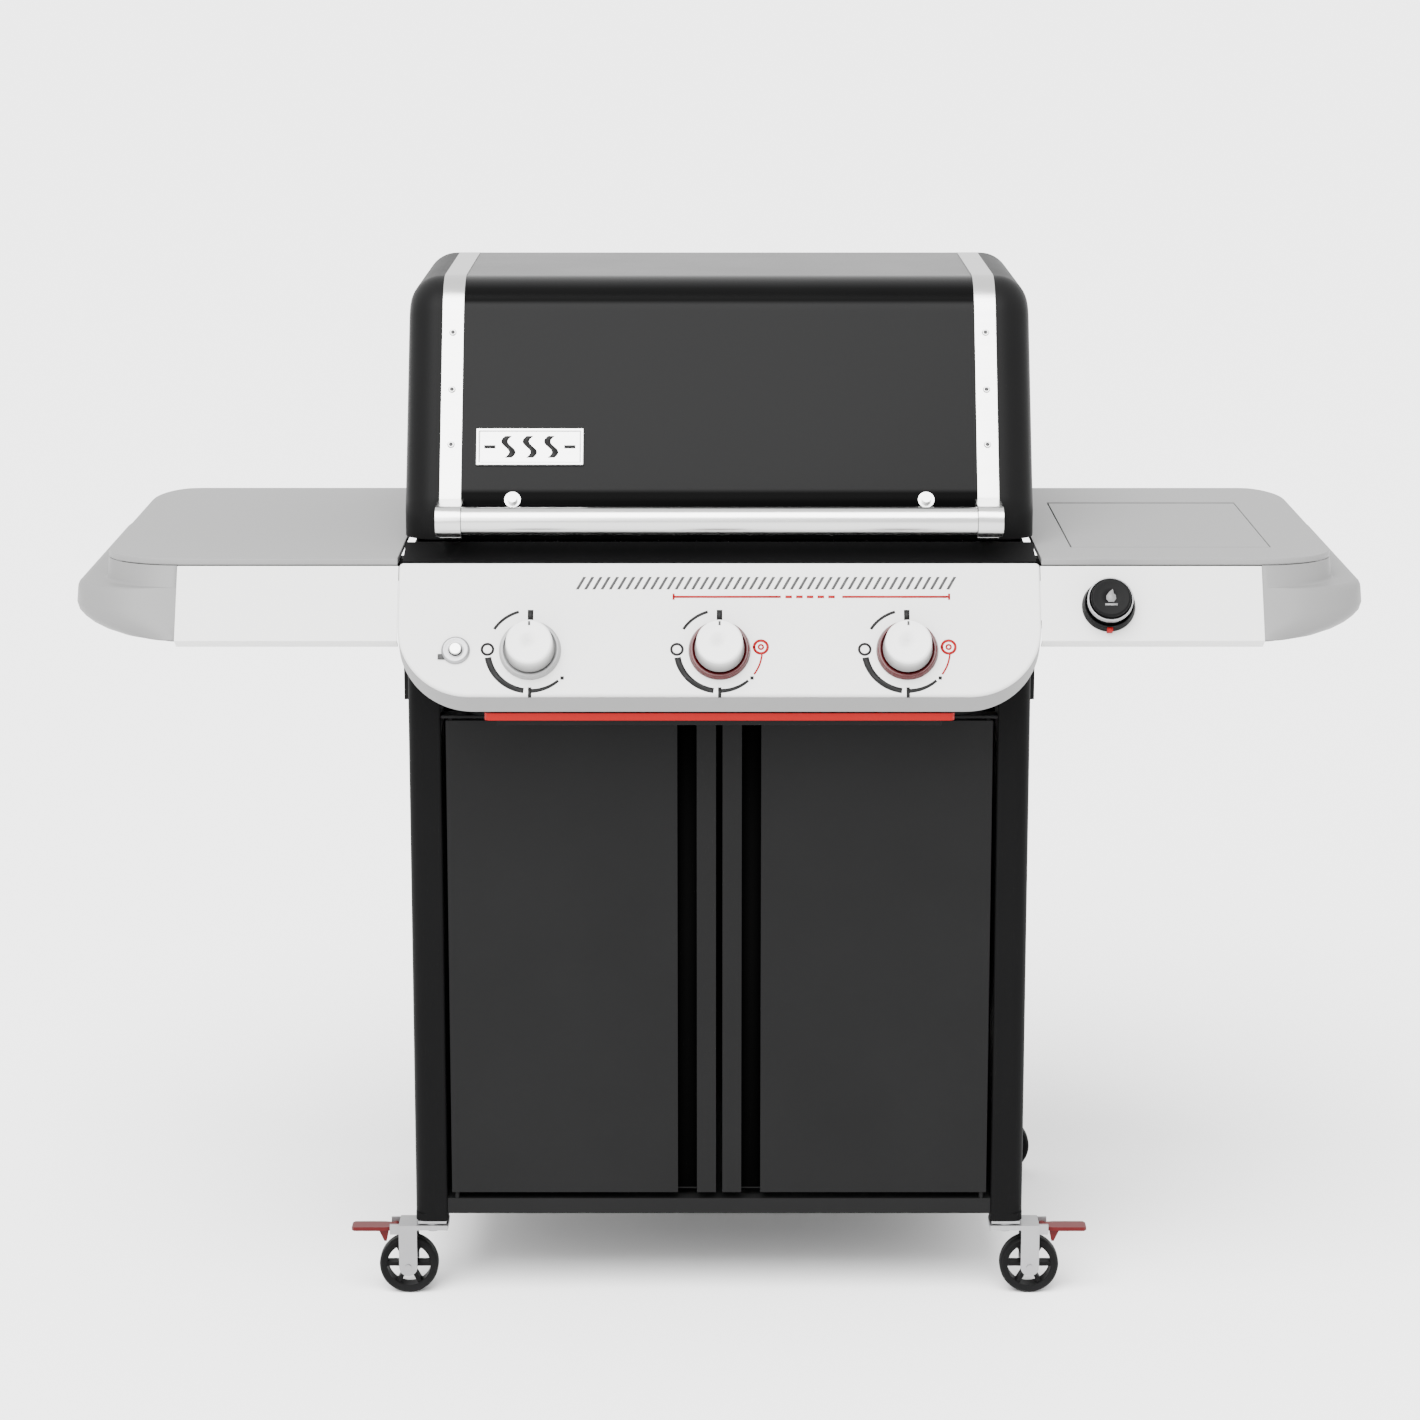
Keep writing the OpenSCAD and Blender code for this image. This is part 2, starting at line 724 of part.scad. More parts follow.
// box beams that carry the tables from the side panels
module table_brackets() {
    color(black_paint) both_sides() for (y = bracket_y)
        along_x(cab_half_w, cap_x + 20) difference() {
            polygon(rect(y, table_z - 36, y + 22, table_z - 8));
            polygon(rect(y + sheet, table_z - 34, y + 20, table_z - 10));
        }
    color(black_paint) both_sides() for (y = bracket_y)
        block([cab_half_w, y, side_z1 - 90], [cab_half_w + 5, y + 22, table_z - 36]);
}

well_mid = [(well[0] + well[2]) / 2, (well[1] + well[3]) / 2];
bowl_z = table_z - 62;

// drip bowl, burner head and pan support of the side burner
module side_burner() {
    color(steel) {
        difference() {
            block([well[0] + 3, well[1] + 3, bowl_z], [well[2] - 3, well[3] - 16, table_z - 8]);
            block([well[0] + 5, well[1] + 5, bowl_z + 2], [well[2] - 5, well[3] - 18, table_z]);
        }
        translate([well_mid[0], well_mid[1] - 7, bowl_z + 1]) {
            cylinder(d = 26, h = 16);
            translate([0, 0, 14]) cylinder(d = 92, h = 14);
            translate([0, 0, 27]) cylinder(d = 70, h = 5);
        }
        for (a = [0, 90]) translate([well_mid[0], well_mid[1] - 7, table_z - 20]) rotate(a)
            for (s = [-1, 1]) block([s > 0 ? 24 : -121.5, -3, 0], [s > 0 ? 121.5 : -24, 3, 8]);
        for (s = [-1, 1]) block([well_mid[0] - 121.5, well_mid[1] - 10 + s * 120, table_z - 20],
            [well_mid[0] + 121.5, well_mid[1] - 4 + s * 120, table_z - 14]);
        for (s = [-1, 1]) block([well_mid[0] - 3, well_mid[1] - 7 + s * 120 - (s > 0 ? 2 : 50), table_z - 20],
            [well_mid[0] + 3, well_mid[1] - 7 + s * 120 + (s > 0 ? 50 : 2), table_z - 14]);
    }
}

side_hinge_y = well[3] - 9;
side_hinge_z = table_z - 5;
lid_gap = 1.5;

// flush lid over the side burner, with hinge barrels along its back edge
module side_burner_lid() {
    color(grey_paint) {
        difference() {
            block([well[0] + lid_gap, well[1] + lid_gap, table_z - 6],
                [well[2] - lid_gap, side_hinge_y - 2.3, table_z]);
            block([well[0] + 4, well[1] + 4, table_z - 7], [well[2] - 4, side_hinge_y - 5, table_z - 2]);
        }
        for (x = [well_mid[0] - 112, well_mid[0] + 48]) {
            translate([x, side_hinge_y, side_hinge_z]) rotate([0, 90, 0]) ring(8, 4 + 2 * fit, 64);
            difference() {
                block([x, side_hinge_y - 4, table_z - 6], [x + 64, side_hinge_y, table_z - 2]);
                translate([x - 1, side_hinge_y, side_hinge_z]) rotate([0, 90, 0]) cylinder(d = 6, h = 66);
            }
        }
    }
}

// ---- hinge pins and caster plates -----------------------------------------

door_pin_x = column_in - 12;
door_pin_y = cab_front_y + 6;
door_pin_d = 6;

// fixed pins of the lid, the doors and the side burner's lid
module hinge_pins() {
    color(steel) {
        both_sides() {
            translate([ear_x0 - 3, hinge_y, hinge_z]) rotate([0, 90, 0])
                cylinder(d = hinge_pin_d, h = lid_half_w - lid_t - ear_x0 + 2);
            translate([door_pin_x, door_pin_y, bottom_rail_z]) cylinder(d = door_pin_d, h = 17);
            translate([door_pin_x, door_pin_y, door_z1 - 8]) cylinder(d = door_pin_d, h = 10);
        }
        for (x = [well_mid[0] - 112, well_mid[0] + 48]) {
            translate([x - 8, side_hinge_y, side_hinge_z]) rotate([0, 90, 0]) cylinder(d = 4, h = 80);
            for (dx = [-8, 66])
                block([x + dx, side_hinge_y - 1.5, side_hinge_z - 2], [x + dx + 6, well[3], side_hinge_z]);
        }
    }
}

crown_z0 = 87;
crown_z1 = 93;
mount_z = foot_z + lift;         // underside of the feet above the floor
kingpin_d = 12;
plate_t = 3.5;

// plates under the feet, each with a headed swivel pin
module caster_plates() {
    color(steel) both_sides() for (y = [caster_front_y, caster_rear_y])
        translate([caster_x, y, 0]) {
            translate([-18, -17, mount_z - plate_t]) cube([36, 34, plate_t]);
            translate([0, 0, crown_z0 - 4]) cylinder(d = kingpin_d, h = mount_z - crown_z0 + 1);
            translate([0, 0, crown_z0 - 5.5]) cylinder(d = 17, h = 5);
        }
}

// ---- casters --------------------------------------------------------------

axle_d = 8;
leg_in = 17;                     // half the space between the fork's legs
leg_w = 23;
lever_pin = [48, 84];            // brake lever's pivot: outwards from the swivel pin, height
lever_pin_d = 5;

// swivel fork with its axle; the braked ones also carry the lever's pivot
module fork(braked) {
    color(steel) {
        difference() {
            union() {
                block([-20, -leg_in - 4, crown_z0], [trail + leg_w / 2, leg_in + 4, crown_z1]);
                translate([0, 0, crown_z0]) cylinder(d = 32, h = mount_z - plate_t - 0.3 - crown_z0);
            }
            cylinder(d = kingpin_d + 2 * fit, h = 110);
        }
        for (s = [-1, 1]) translate([0, s > 0 ? leg_in : -leg_in - 4, 0]) {
            block([trail - leg_w / 2, 0, wheel_d / 2], [trail + leg_w / 2, 4, crown_z0 + 1]);
            translate([trail, 0, wheel_d / 2]) rotate([-90, 0, 0]) cylinder(d = leg_w, h = 4);
        }
        translate([trail, -leg_in - 6, wheel_d / 2]) rotate([-90, 0, 0]) cylinder(d = axle_d, h = 2 * leg_in + 12);
        if (braked) {
            for (s = [-1, 1]) along_x(0, lever_pin[0] + 6)
                polygon(rect(s * 15 - 2, crown_z1 - 3, s * 15 + 2, crown_z1));
            for (s = [-1, 1]) difference() {
                block([lever_pin[0] - 6, s * 15 - 2, lever_pin[1] - 4],
                    [lever_pin[0] + 6, s * 15 + 2, crown_z1]);
                translate([lever_pin[0], -30, lever_pin[1]]) rotate([-90, 0, 0])
                    cylinder(d = lever_pin_d, h = 60);
            }
            translate([lever_pin[0], -17, lever_pin[1]]) rotate([-90, 0, 0]) cylinder(d = lever_pin_d, h = 34);
        }
    }
}

module place_caster(s, y) {
    on_side(s) translate([caster_x, y, 0]) children();
}

module fork_front_left() { place_caster(-1, caster_front_y) fork(true); }
module fork_front_right() { place_caster(1, caster_front_y) fork(true); }
// the left rear caster trails inwards at rest, the others outwards
module place_rear_left() {
    translate([-caster_x, caster_rear_y, 0]) children();
}

module fork_rear_left() { place_rear_left() fork(false); }
module fork_rear_right() { place_caster(1, caster_rear_y) fork(false); }

// tyre on a spoked hub
module wheel() {
    r = wheel_d / 2;
    color(black_plastic) translate([trail, 0, r]) rotate([90, 0, 0]) difference() {
        union() {
            rotate_extrude() polygon([[r - 10, -10], [r - 3, -12.5], [r - 0.8, -10], [r, -6],
                [r, 6], [r - 0.8, 10], [r - 3, 12.5], [r - 10, 10]]);
            translate([0, 0, -15]) cylinder(d = 18, h = 30);
            for (a = [0:60:300]) rotate(a) translate([7, -2.5, -8]) cube([r - 16, 5, 16]);
        }
        translate([0, 0, -20]) cylinder(d = axle_d + 2 * fit, h = 40);
    }
}

module wheel_front_left() { place_caster(-1, caster_front_y) wheel(); }
module wheel_front_right() { place_caster(1, caster_front_y) wheel(); }
module wheel_rear_left() { place_rear_left() wheel(); }
module wheel_rear_right() { place_caster(1, caster_rear_y) wheel(); }

// foot lever with a pad that presses on the tyre
module brake_lever() {
    color(red_plastic) translate([lever_pin[0], 0, lever_pin[1]]) difference() {
        union() {
            rotate([90, 0, 0]) translate([0, 0, -12.5]) cylinder(d = 9, h = 25);
            block([-2, -10, -1], [22, 10, 4]);
            hull() {
                block([4, -10, 0], [6, 10, 4]);
                block([14, -12, -1], [52, 12, 4]);
                block([50, -9, -0.5], [55, 9, 3.5]);
            }
            hull() {
                block([8, -7, -1], [21, 7, 0]);
                block([11, -7, -16], [14, 7, -15]);
            }
        }
        rotate([90, 0, 0]) cylinder(d = lever_pin_d + 2 * fit, h = 60, center = true);
    }
}

module brake_left() { place_caster(-1, caster_front_y) brake_lever(); }
module brake_right() { place_caster(1, caster_front_y) brake_lever(); }

// ---- lid ------------------------------------------------------------------

lid_front_y = -173;
lid_skin_z = top_z - 1.5;        // top of the lid's sheet, under the trims
shroud_x = 318.6;
trim_w = 27;

// side view of the lid in Y and Z, moved inwards by d, with its foot at z0
function lid_profile(d, z0, foot_r = 1) = inset(rounded([[lid_front_y, z0], [half_d, z0],
    [half_d, lid_skin_z], [-38.75, lid_skin_z], [lid_front_y, 996]], [foot_r, foot_r, 43, 70, 60]), d);

module lid_shroud() {
    color(black_paint) along_x(-shroud_x, shroud_x) difference() {
        polygon(lid_profile(0, lid_z0));
        polygon(lid_profile(lid_t, lid_z0 - 30));
    }
}

cap_n = 5;                       // steps in the rounding of an end cap's edge
foot_r = 45;

// solid form of an end cap, shrunk by d on its outside
module cap_form(d) {
    r = cap_round - d;
    hull() {
        along_x(shroud_x - (d > 0 ? 1 : 0), shroud_x + 2) polygon(lid_profile(d, lid_z0 - 60, foot_r));
        for (i = [0:cap_n]) let(a = 90 * i / cap_n)
            along_x(lid_half_w - cap_round + r * sin(a) - 0.5, lid_half_w - cap_round + r * sin(a))
                polygon(lid_profile(d + r * (1 - cos(a)), lid_z0 - 60, foot_r));
    }
}

// hollow end cap with a boss for the hinge pin
module lid_cap() {
    difference() {
        union() {
            difference() {
                cap_form(0);
                cap_form(lid_t);
            }
            translate([lid_half_w - lid_t - 4, hinge_y, hinge_z]) rotate([0, 90, 0]) cylinder(d = 24, h = 5);
        }
        translate([ear_x0, hinge_y, hinge_z]) rotate([0, 90, 0])
            cylinder(d = hinge_pin_d + 2 * fit, h = lid_half_w - lid_t + 0.5 - ear_x0);
        block([shroud_x - 10, -400, lid_z0 - 100], [lid_half_w + 10, 500, lid_z0]);
    }
}

module lid_left_cap() { color(black_plastic) on_side(-1) lid_cap(); }
module lid_right_cap() { color(black_plastic) lid_cap(); }

// bright strips over the seams, from the handle up and over the top
module lid_trims() {
    color(steel) both_sides() along_x(shroud_x, shroud_x + trim_w) difference() {
        polygon(lid_profile(-1.5, lid_z0 - 3));
        polygon(lid_profile(0, lid_z0 - 30));
        polygon(rect(lid_front_y - 10, lid_z0 - 20, half_d + 10, lid_z0 + 2));
        polygon(rect(290, lid_z0 - 20, half_d + 10, top_z + 10));
    }
}

trim_mid_x = shroud_x + trim_w / 2;

// places children on the lid's sloping face, f of the way up it
module on_lid_face(x, f) {
    a = [lid_front_y, 996];
    b = [-38.75, lid_skin_z];
    p = a + (b - a) * f;
    translate([x, p[0], p[1]]) rotate([90 - atan2(b[0] - a[0], b[1] - a[1]), 0, 0]) children();
}

module trim_screws() {
    color(steel) both_sides() for (f = [0.27, 0.51, 0.76])
        on_lid_face(trim_mid_x, f) translate([0, 0, 1.52]) cylinder(d1 = 9, d2 = 7, h = 1.5);
}

handle_y = -233;
handle_z = 989;
handle_half = shroud_x - 3.6;

module handle_tube() {
    color(steel) translate([-handle_half, handle_y, handle_z]) rotate([0, 90, 0])
        ring(handle_d, handle_d - 5, 2 * handle_half);
}

// end brackets and two short posts between the lid and the handle tube
module handle_brackets() {
    color(steel) {
        both_sides() difference() {
            union() {
                along_x(handle_half, trim_mid_x + trim_w / 2)
                    polygon(rounded(rect(handle_y, handle_z - 21, lid_front_y - 1.5, handle_z + 18),
                        [4, 1, 1, 4], 4));
                translate([handle_half, handle_y, handle_z]) rotate([0, 90, 0])
                    cylinder(d = handle_d + 3, h = trim_mid_x + trim_w / 2 - handle_half);
            }
            along_x(handle_half + 4, trim_mid_x + trim_w / 2 - 4)
                polygon(rect(handle_y + 22, handle_z - 17, lid_front_y - 5, handle_z + 14));
        }
        for (x = [-255, 255]) on_lid_face(x, 0.03) {
            cylinder(d = 20, h = 4);
            cylinder(d = 12, h = 12);
        }
    }
}

badge_x = -301;
badge_w = 133;
badge_h = 48;

// plain plate with a raised border and three wavy heat lines
module badge() {
    color(steel) on_lid_face(badge_x, 0.26) difference() {
        translate([0, -badge_h / 2, 0]) cube([badge_w, badge_h, 3]);
        translate([4, 4 - badge_h / 2, 2]) cube([badge_w - 8, badge_h - 8, 2]);
    }
}

// ---- doors ----------------------------------------------------------------

door_x0 = 4;
door_x1 = column_in - 6;
strip_w = 24;
recess_d = 16;

// folded steel door: a pan with a finger channel beside the middle strip
module door() {
    y = cab_front_y;
    difference() {
        union() {
            difference() {
                block([door_x0, y, door_z0], [door_x1, y + door_t, door_z1]);
                block([door_x0 + sheet, y + sheet, door_z0 + sheet],
                    [door_x1 - sheet, y + door_t + 1, door_z1 - sheet]);
            }
            block([door_x0 + strip_w - sheet, y, door_z0],
                [door_x0 + 2 * strip_w + sheet, y + recess_d + sheet, door_z1]);
        }
        block([door_x0 + strip_w, y - 1, door_z0 - 1], [door_x0 + 2 * strip_w, y + recess_d, door_z1 + 1]);
        translate([door_pin_x, door_pin_y, door_z0 - 1])
            cylinder(d = door_pin_d + 2 * fit, h = door_z1 - door_z0 + 2);
    }
}

module left_door() { color(black_paint) on_side(-1) door(); }
module right_door() { color(black_paint) door(); }

// ---- grease tray ----------------------------------------------------------

tray_y0 = -296;
tray_y1 = 185;
strip_half = 285;

module grease_tray() {
    color(steel) difference() {
        block([-tray_half_w, tray_y0, tray_z], [tray_half_w, tray_y1, tray_z + 16]);
        block([sheet - tray_half_w, tray_y0 + sheet, tray_z + 1.5],
            [tray_half_w - sheet, tray_y1 - sheet, tray_z + 17]);
    }
}

// red front strip, the tray's pull
module tray_front() {
    color("#dc4444") translate([0, 0, tray_z + 9]) linear_extrude(9)
        polygon(rounded(rect(-strip_half, tray_y0 - 15, strip_half, tray_y0), [7, 7, 0.5, 0.5], 6));
}

translate([0, 0, lift]) {
    left_side_panel();
    right_side_panel();
    cabinet_back();
    cabinet_floor();
    front_rails();
    foot_caps();
    cookbox();
    control_panel();
    left_table_top();
    right_table_top();
    table_fascias();
    left_end_cap();
    right_end_cap();
    table_brackets();
    burner_tubes();
    heat_bars();
    cooking_grates();
    gas_manifold();
    valve_bodies();
    control_bezels();
    warming_rack();
    side_burner();
    gas_tank();
    regulator();
    gas_hose();
    hinge_pins();
    lid_shroud();
    lid_left_cap();
    lid_right_cap();
    lid_trims();
    handle_tube();
    handle_brackets();
    badge();
    trim_screws();
    left_door();
    right_door();
    valve_plug_1();
    valve_plug_2();
    valve_plug_3();
    side_valve_plug();
    knob_1();
    knob_2();
    knob_3();
    side_burner_dial();
    igniter_button();
    side_burner_lid();
    grease_tray();
    tray_front();
    tank_handwheel();
}
caster_plates();
fork_front_left();
fork_front_right();
fork_rear_left();
fork_rear_right();
wheel_front_left();
wheel_front_right();
wheel_rear_left();
wheel_rear_right();
brake_left();
brake_right();
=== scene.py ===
"""Gas barbecue grill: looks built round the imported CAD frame. Metres, +Z up, the front faces -Y."""
import json
import math

import bmesh
import bpy
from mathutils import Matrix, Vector


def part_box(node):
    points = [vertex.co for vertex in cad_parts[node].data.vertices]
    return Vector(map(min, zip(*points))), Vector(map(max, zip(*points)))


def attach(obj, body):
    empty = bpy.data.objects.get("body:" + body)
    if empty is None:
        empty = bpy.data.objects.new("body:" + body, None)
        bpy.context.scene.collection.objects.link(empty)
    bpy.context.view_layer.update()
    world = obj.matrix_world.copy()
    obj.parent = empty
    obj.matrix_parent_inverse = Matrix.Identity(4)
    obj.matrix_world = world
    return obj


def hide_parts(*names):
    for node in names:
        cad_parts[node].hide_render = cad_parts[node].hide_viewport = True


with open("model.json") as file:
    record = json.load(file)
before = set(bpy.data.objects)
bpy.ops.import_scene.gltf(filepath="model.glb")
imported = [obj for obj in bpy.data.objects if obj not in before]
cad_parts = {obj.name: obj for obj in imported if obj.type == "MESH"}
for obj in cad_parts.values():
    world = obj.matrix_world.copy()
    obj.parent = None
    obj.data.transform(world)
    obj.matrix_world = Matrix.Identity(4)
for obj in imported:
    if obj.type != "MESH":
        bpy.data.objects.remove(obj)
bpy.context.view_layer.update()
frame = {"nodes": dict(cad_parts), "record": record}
MM = 0.001


# ---- camera ---------------------------------------------------------------

LENS = 99.8                                  # mm on a 36 mm sensor
CAMERA_AT = (-0.0115, -4.973, 1.771)
CAMERA_DOWN = 12                             # degrees below level


def add_camera():
    """Camera close to the grill's centre line, looking down at its front with a long lens."""
    data = bpy.data.cameras.new("camera")
    data.lens = LENS
    data.sensor_width = 36
    camera = bpy.data.objects.new("camera", data)
    camera.location = CAMERA_AT
    camera.rotation_euler = (math.radians(90 - CAMERA_DOWN), 0, 0)
    bpy.context.collection.objects.link(camera)
    bpy.context.scene.camera = camera


add_camera()


# ---- materials ------------------------------------------------------------

def noise_node(nodes, links, vector, scale, detail=4.0):
    node = nodes.new("ShaderNodeTexNoise")
    node.inputs["Scale"].default_value = scale
    node.inputs["Detail"].default_value = detail
    links.new(vector, node.inputs["Vector"])
    return node


def material(name, color, rough, metallic=0.0, coat=0.0, grain=900.0, bump=0.05,
             mottle=0.06, rough_var=0.08, stretch=(1, 1, 1), dust=0.0, spec=0.5):
    """Painted, plated or moulded surface: mottled colour, uneven gloss and a fine grain."""
    mat = bpy.data.materials.new(name)
    mat.use_nodes = True
    nodes, links = mat.node_tree.nodes, mat.node_tree.links
    shader = nodes["Principled BSDF"]
    shader.inputs["Metallic"].default_value = metallic
    shader.inputs["Coat Weight"].default_value = coat
    shader.inputs["Coat Roughness"].default_value = 0.12
    shader.inputs["Specular IOR Level"].default_value = spec
    coords = nodes.new("ShaderNodeTexCoord")
    mapping = nodes.new("ShaderNodeMapping")
    mapping.inputs["Scale"].default_value = stretch
    links.new(coords.outputs["Object"], mapping.inputs["Vector"])
    vector = mapping.outputs["Vector"]
    broad = noise_node(nodes, links, vector, 7.0)
    fine = noise_node(nodes, links, vector, grain, 3.0)
    ramp = nodes.new("ShaderNodeValToRGB")
    dark = [c * (1 - mottle) for c in color]
    light = [min(1, c * (1 + mottle) + dust) for c in color]
    ramp.color_ramp.elements[0].position = 0.3
    ramp.color_ramp.elements[0].color = (*dark, 1)
    ramp.color_ramp.elements[1].position = 0.7
    ramp.color_ramp.elements[1].color = (*light, 1)
    links.new(broad.outputs["Fac"], ramp.inputs["Fac"])
    links.new(ramp.outputs["Color"], shader.inputs["Base Color"])
    gloss = nodes.new("ShaderNodeMapRange")
    gloss.inputs["To Min"].default_value = max(0.02, rough - rough_var)
    gloss.inputs["To Max"].default_value = min(1.0, rough + rough_var)
    mixed = nodes.new("ShaderNodeMath")
    mixed.operation = "MULTIPLY_ADD"
    mixed.inputs[1].default_value = 0.5
    links.new(fine.outputs["Fac"], mixed.inputs[0])
    half = nodes.new("ShaderNodeMath")
    half.operation = "MULTIPLY"
    half.inputs[1].default_value = 0.5
    links.new(broad.outputs["Fac"], half.inputs[0])
    links.new(half.outputs[0], mixed.inputs[2])
    links.new(mixed.outputs[0], gloss.inputs["Value"])
    links.new(gloss.outputs["Result"], shader.inputs["Roughness"])
    bumps = nodes.new("ShaderNodeBump")
    bumps.inputs["Strength"].default_value = bump
    bumps.inputs["Distance"].default_value = 0.0004
    links.new(fine.outputs["Fac"], bumps.inputs["Height"])
    links.new(bumps.outputs["Normal"], shader.inputs["Normal"])
    return mat


MATS = {
    "black_paint": material("powder_black", (0.0065, 0.0065, 0.0066), 0.5, grain=1400, bump=0.12, spec=0.05),
    "black_enamel": material("enamel_black", (0.0060, 0.0060, 0.0061), 0.24, grain=500, bump=0.02,
                             rough_var=0.05, spec=0.05),
    "black_plastic": material("plastic_black", (0.0045, 0.0045, 0.0046), 0.42, grain=2200, bump=0.14, spec=0.04),
    "white_paint": material("powder_white", (0.60, 0.60, 0.592), 0.42, grain=1600, bump=0.08, mottle=0.012,
                            spec=0.3),
    "white_plastic": material("plastic_white", (0.62, 0.62, 0.612), 0.3, coat=0.1, grain=2400, bump=0.03,
                              mottle=0.012),
    "grey_paint": material("powder_grey", (0.165, 0.165, 0.164), 0.5, grain=1500, bump=0.14, mottle=0.02,
                           spec=0.3),
    "grey_plastic": material("plastic_grey", (0.135, 0.135, 0.134), 0.45, grain=2000, bump=0.12, mottle=0.02,
                             spec=0.3),
    "stainless": material("stainless", (0.50, 0.50, 0.495), 0.24, metallic=1.0, grain=300, bump=0.1,
                          mottle=0.05, stretch=(0.02, 1, 1)),
    "cast_iron": material("cast_iron", (0.012, 0.012, 0.012), 0.6, grain=600, bump=0.5, mottle=0.2, spec=0.15),
    "brass": material("brass", (0.40, 0.28, 0.11), 0.3, metallic=1.0, grain=700, bump=0.08),
    "zinc_steel": material("zinc_steel", (0.26, 0.26, 0.265), 0.36, metallic=0.85, grain=500, bump=0.12,
                           mottle=0.1),
    "tank_paint": material("tank_paint", (0.38, 0.38, 0.37), 0.32, coat=0.2, grain=300, bump=0.08),
    "zinc_alloy": material("zinc_alloy", (0.18, 0.18, 0.18), 0.45, metallic=0.8, grain=900, bump=0.2),
    "hose_rubber": material("hose_rubber", (0.006, 0.006, 0.006), 0.6, grain=1200, bump=0.2, spec=0.15),
    "red_plastic": material("plastic_red", (0.06, 0.0012, 0.0018), 0.4, grain=2000, bump=0.05, spec=0.15),
    "red_paint": material("powder_red", (0.20, 0.0028, 0.0028), 0.42, grain=1500, bump=0.08, mottle=0.03,
                          spec=0.1),
    "wheel_rubber": material("wheel_rubber", (0.0045, 0.0045, 0.0046), 0.55, grain=900, bump=0.25, mottle=0.15,
                             spec=0.05),
}
INK = material("ink_dark", (0.010, 0.010, 0.010), 0.5, grain=3000, bump=0.02, spec=0.1)
INK_GREY = material("ink_grey", (0.045, 0.045, 0.045), 0.5, grain=3000, bump=0.02, spec=0.1)
INK_RED = material("ink_red", (0.22, 0.004, 0.005), 0.45, grain=3000, bump=0.02, spec=0.1)
# the ring's own red, made darker as painted shade for the foot of the knob
BEZEL_RED = material("bezel_red_painted_shade", (0.045, 0.0025, 0.0035), 0.22, grain=2500, bump=0.03, spec=0.3)
BEZEL_GREY = material("bezel_grey", (0.20, 0.20, 0.20), 0.3, grain=2500, bump=0.03)
ICON = material("icon_grey", (0.14, 0.14, 0.14), 0.5, grain=3000, bump=0.02)
# painted shade: a darker copy of the black paint, for the side panels, cookbox and foot caps
SHADED_BLACK_PAINT = material("powder_black_painted_shade", (0.0030, 0.0030, 0.0031), 0.5, grain=1400, bump=0.12, spec=0.03)
# painted shadow: near-black for the doors' finger channels
CHANNEL_SHADOW = material("painted_shadow_black", (0.0015, 0.0015, 0.0015), 0.8, grain=900, bump=0.1, spec=0.0)


EVEN_TONE = 0.62                             # tone of the lid's enamel away from its bends, where no painted shade or highlight is laid


def painted_shade_material(slot, name, along, low, high, stops, spec=None, front=False):
    """A slot's material with painted shade and highlight: its tone is set by the place along a direction, from low
    to high in metres.

    With front set, the ramp shows only in front of Y 0 and the rest has EVEN_TONE.
    """
    mat = MATS[slot].copy()
    mat.name = name
    nodes, links = mat.node_tree.nodes, mat.node_tree.links
    shader = nodes["Principled BSDF"]
    coords = next(n for n in nodes if n.type == "TEX_COORD")
    dot = nodes.new("ShaderNodeVectorMath")
    dot.operation = "DOT_PRODUCT"
    links.new(coords.outputs["Object"], dot.inputs[0])
    dot.inputs[1].default_value = along
    span = nodes.new("ShaderNodeMapRange")
    span.inputs["From Min"].default_value = low
    span.inputs["From Max"].default_value = high
    links.new(dot.outputs["Value"], span.inputs["Value"])
    tone = nodes.new("ShaderNodeValToRGB")
    while len(tone.color_ramp.elements) < len(stops):
        tone.color_ramp.elements.new(0.5)
    for element, (place, value) in zip(tone.color_ramp.elements, stops):
        element.position = place
        element.color = (value, value, value, 1)
    links.new(span.outputs["Result"], tone.inputs["Fac"])
    level = tone.outputs["Color"]
    if front:
        split = nodes.new("ShaderNodeSeparateXYZ")
        links.new(coords.outputs["Object"], split.inputs["Vector"])
        behind = nodes.new("ShaderNodeMath")
        behind.operation = "GREATER_THAN"
        links.new(split.outputs["Y"], behind.inputs[0])
        behind.inputs[1].default_value = 0.0
        even = nodes.new("ShaderNodeMix")
        even.data_type = "RGBA"
        links.new(behind.outputs[0], even.inputs["Factor"])
        links.new(level, even.inputs[6])
        even.inputs[7].default_value = (EVEN_TONE, EVEN_TONE, EVEN_TONE, 1)
        level = even.outputs[2]
    mix = nodes.new("ShaderNodeMix")
    mix.data_type = "RGBA"
    mix.blend_type = "MULTIPLY"
    mix.inputs["Factor"].default_value = 1.0
    links.new(shader.inputs["Base Color"].links[0].from_socket, mix.inputs[6])
    links.new(level, mix.inputs[7])
    links.new(mix.outputs[2], shader.inputs["Base Color"])
    # painted sheen: the specular level rises and falls with the painted tone
    if spec is not None:
        scale = nodes.new("ShaderNodeMath")
        scale.operation = "MULTIPLY"
        scale.inputs[1].default_value = spec
        links.new(level, scale.inputs[0])
        links.new(scale.outputs[0], shader.inputs["Specular IOR Level"])
    return mat


# ---- mesh helpers ---------------------------------------------------------

def finish_piece(obj, mat, body, replaced=(), weighted=True):
    """Gives a new piece its material, its body and the CAD nodes that it stands for."""
    obj.data.materials.clear()
    obj.data.materials.append(mat)
    for face in obj.data.polygons:
        face.use_smooth = True
    if weighted:
        obj.modifiers.new("weighted", "WEIGHTED_NORMAL").keep_sharp = True
    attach(obj, body)
    if replaced:
        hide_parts(*replaced)
    return obj


def mesh_object(name, verts, faces):
    mesh = bpy.data.meshes.new(name)
    mesh.from_pydata([Vector(v) for v in verts], [], faces)
    mesh.validate()
    work = bmesh.new()
    work.from_mesh(mesh)
    bmesh.ops.remove_doubles(work, verts=work.verts, dist=1e-6)
    bmesh.ops.recalc_face_normals(work, faces=work.faces)
    work.to_mesh(mesh)
    work.free()
    obj = bpy.data.objects.new(name, mesh)
    bpy.context.collection.objects.link(obj)
    return obj


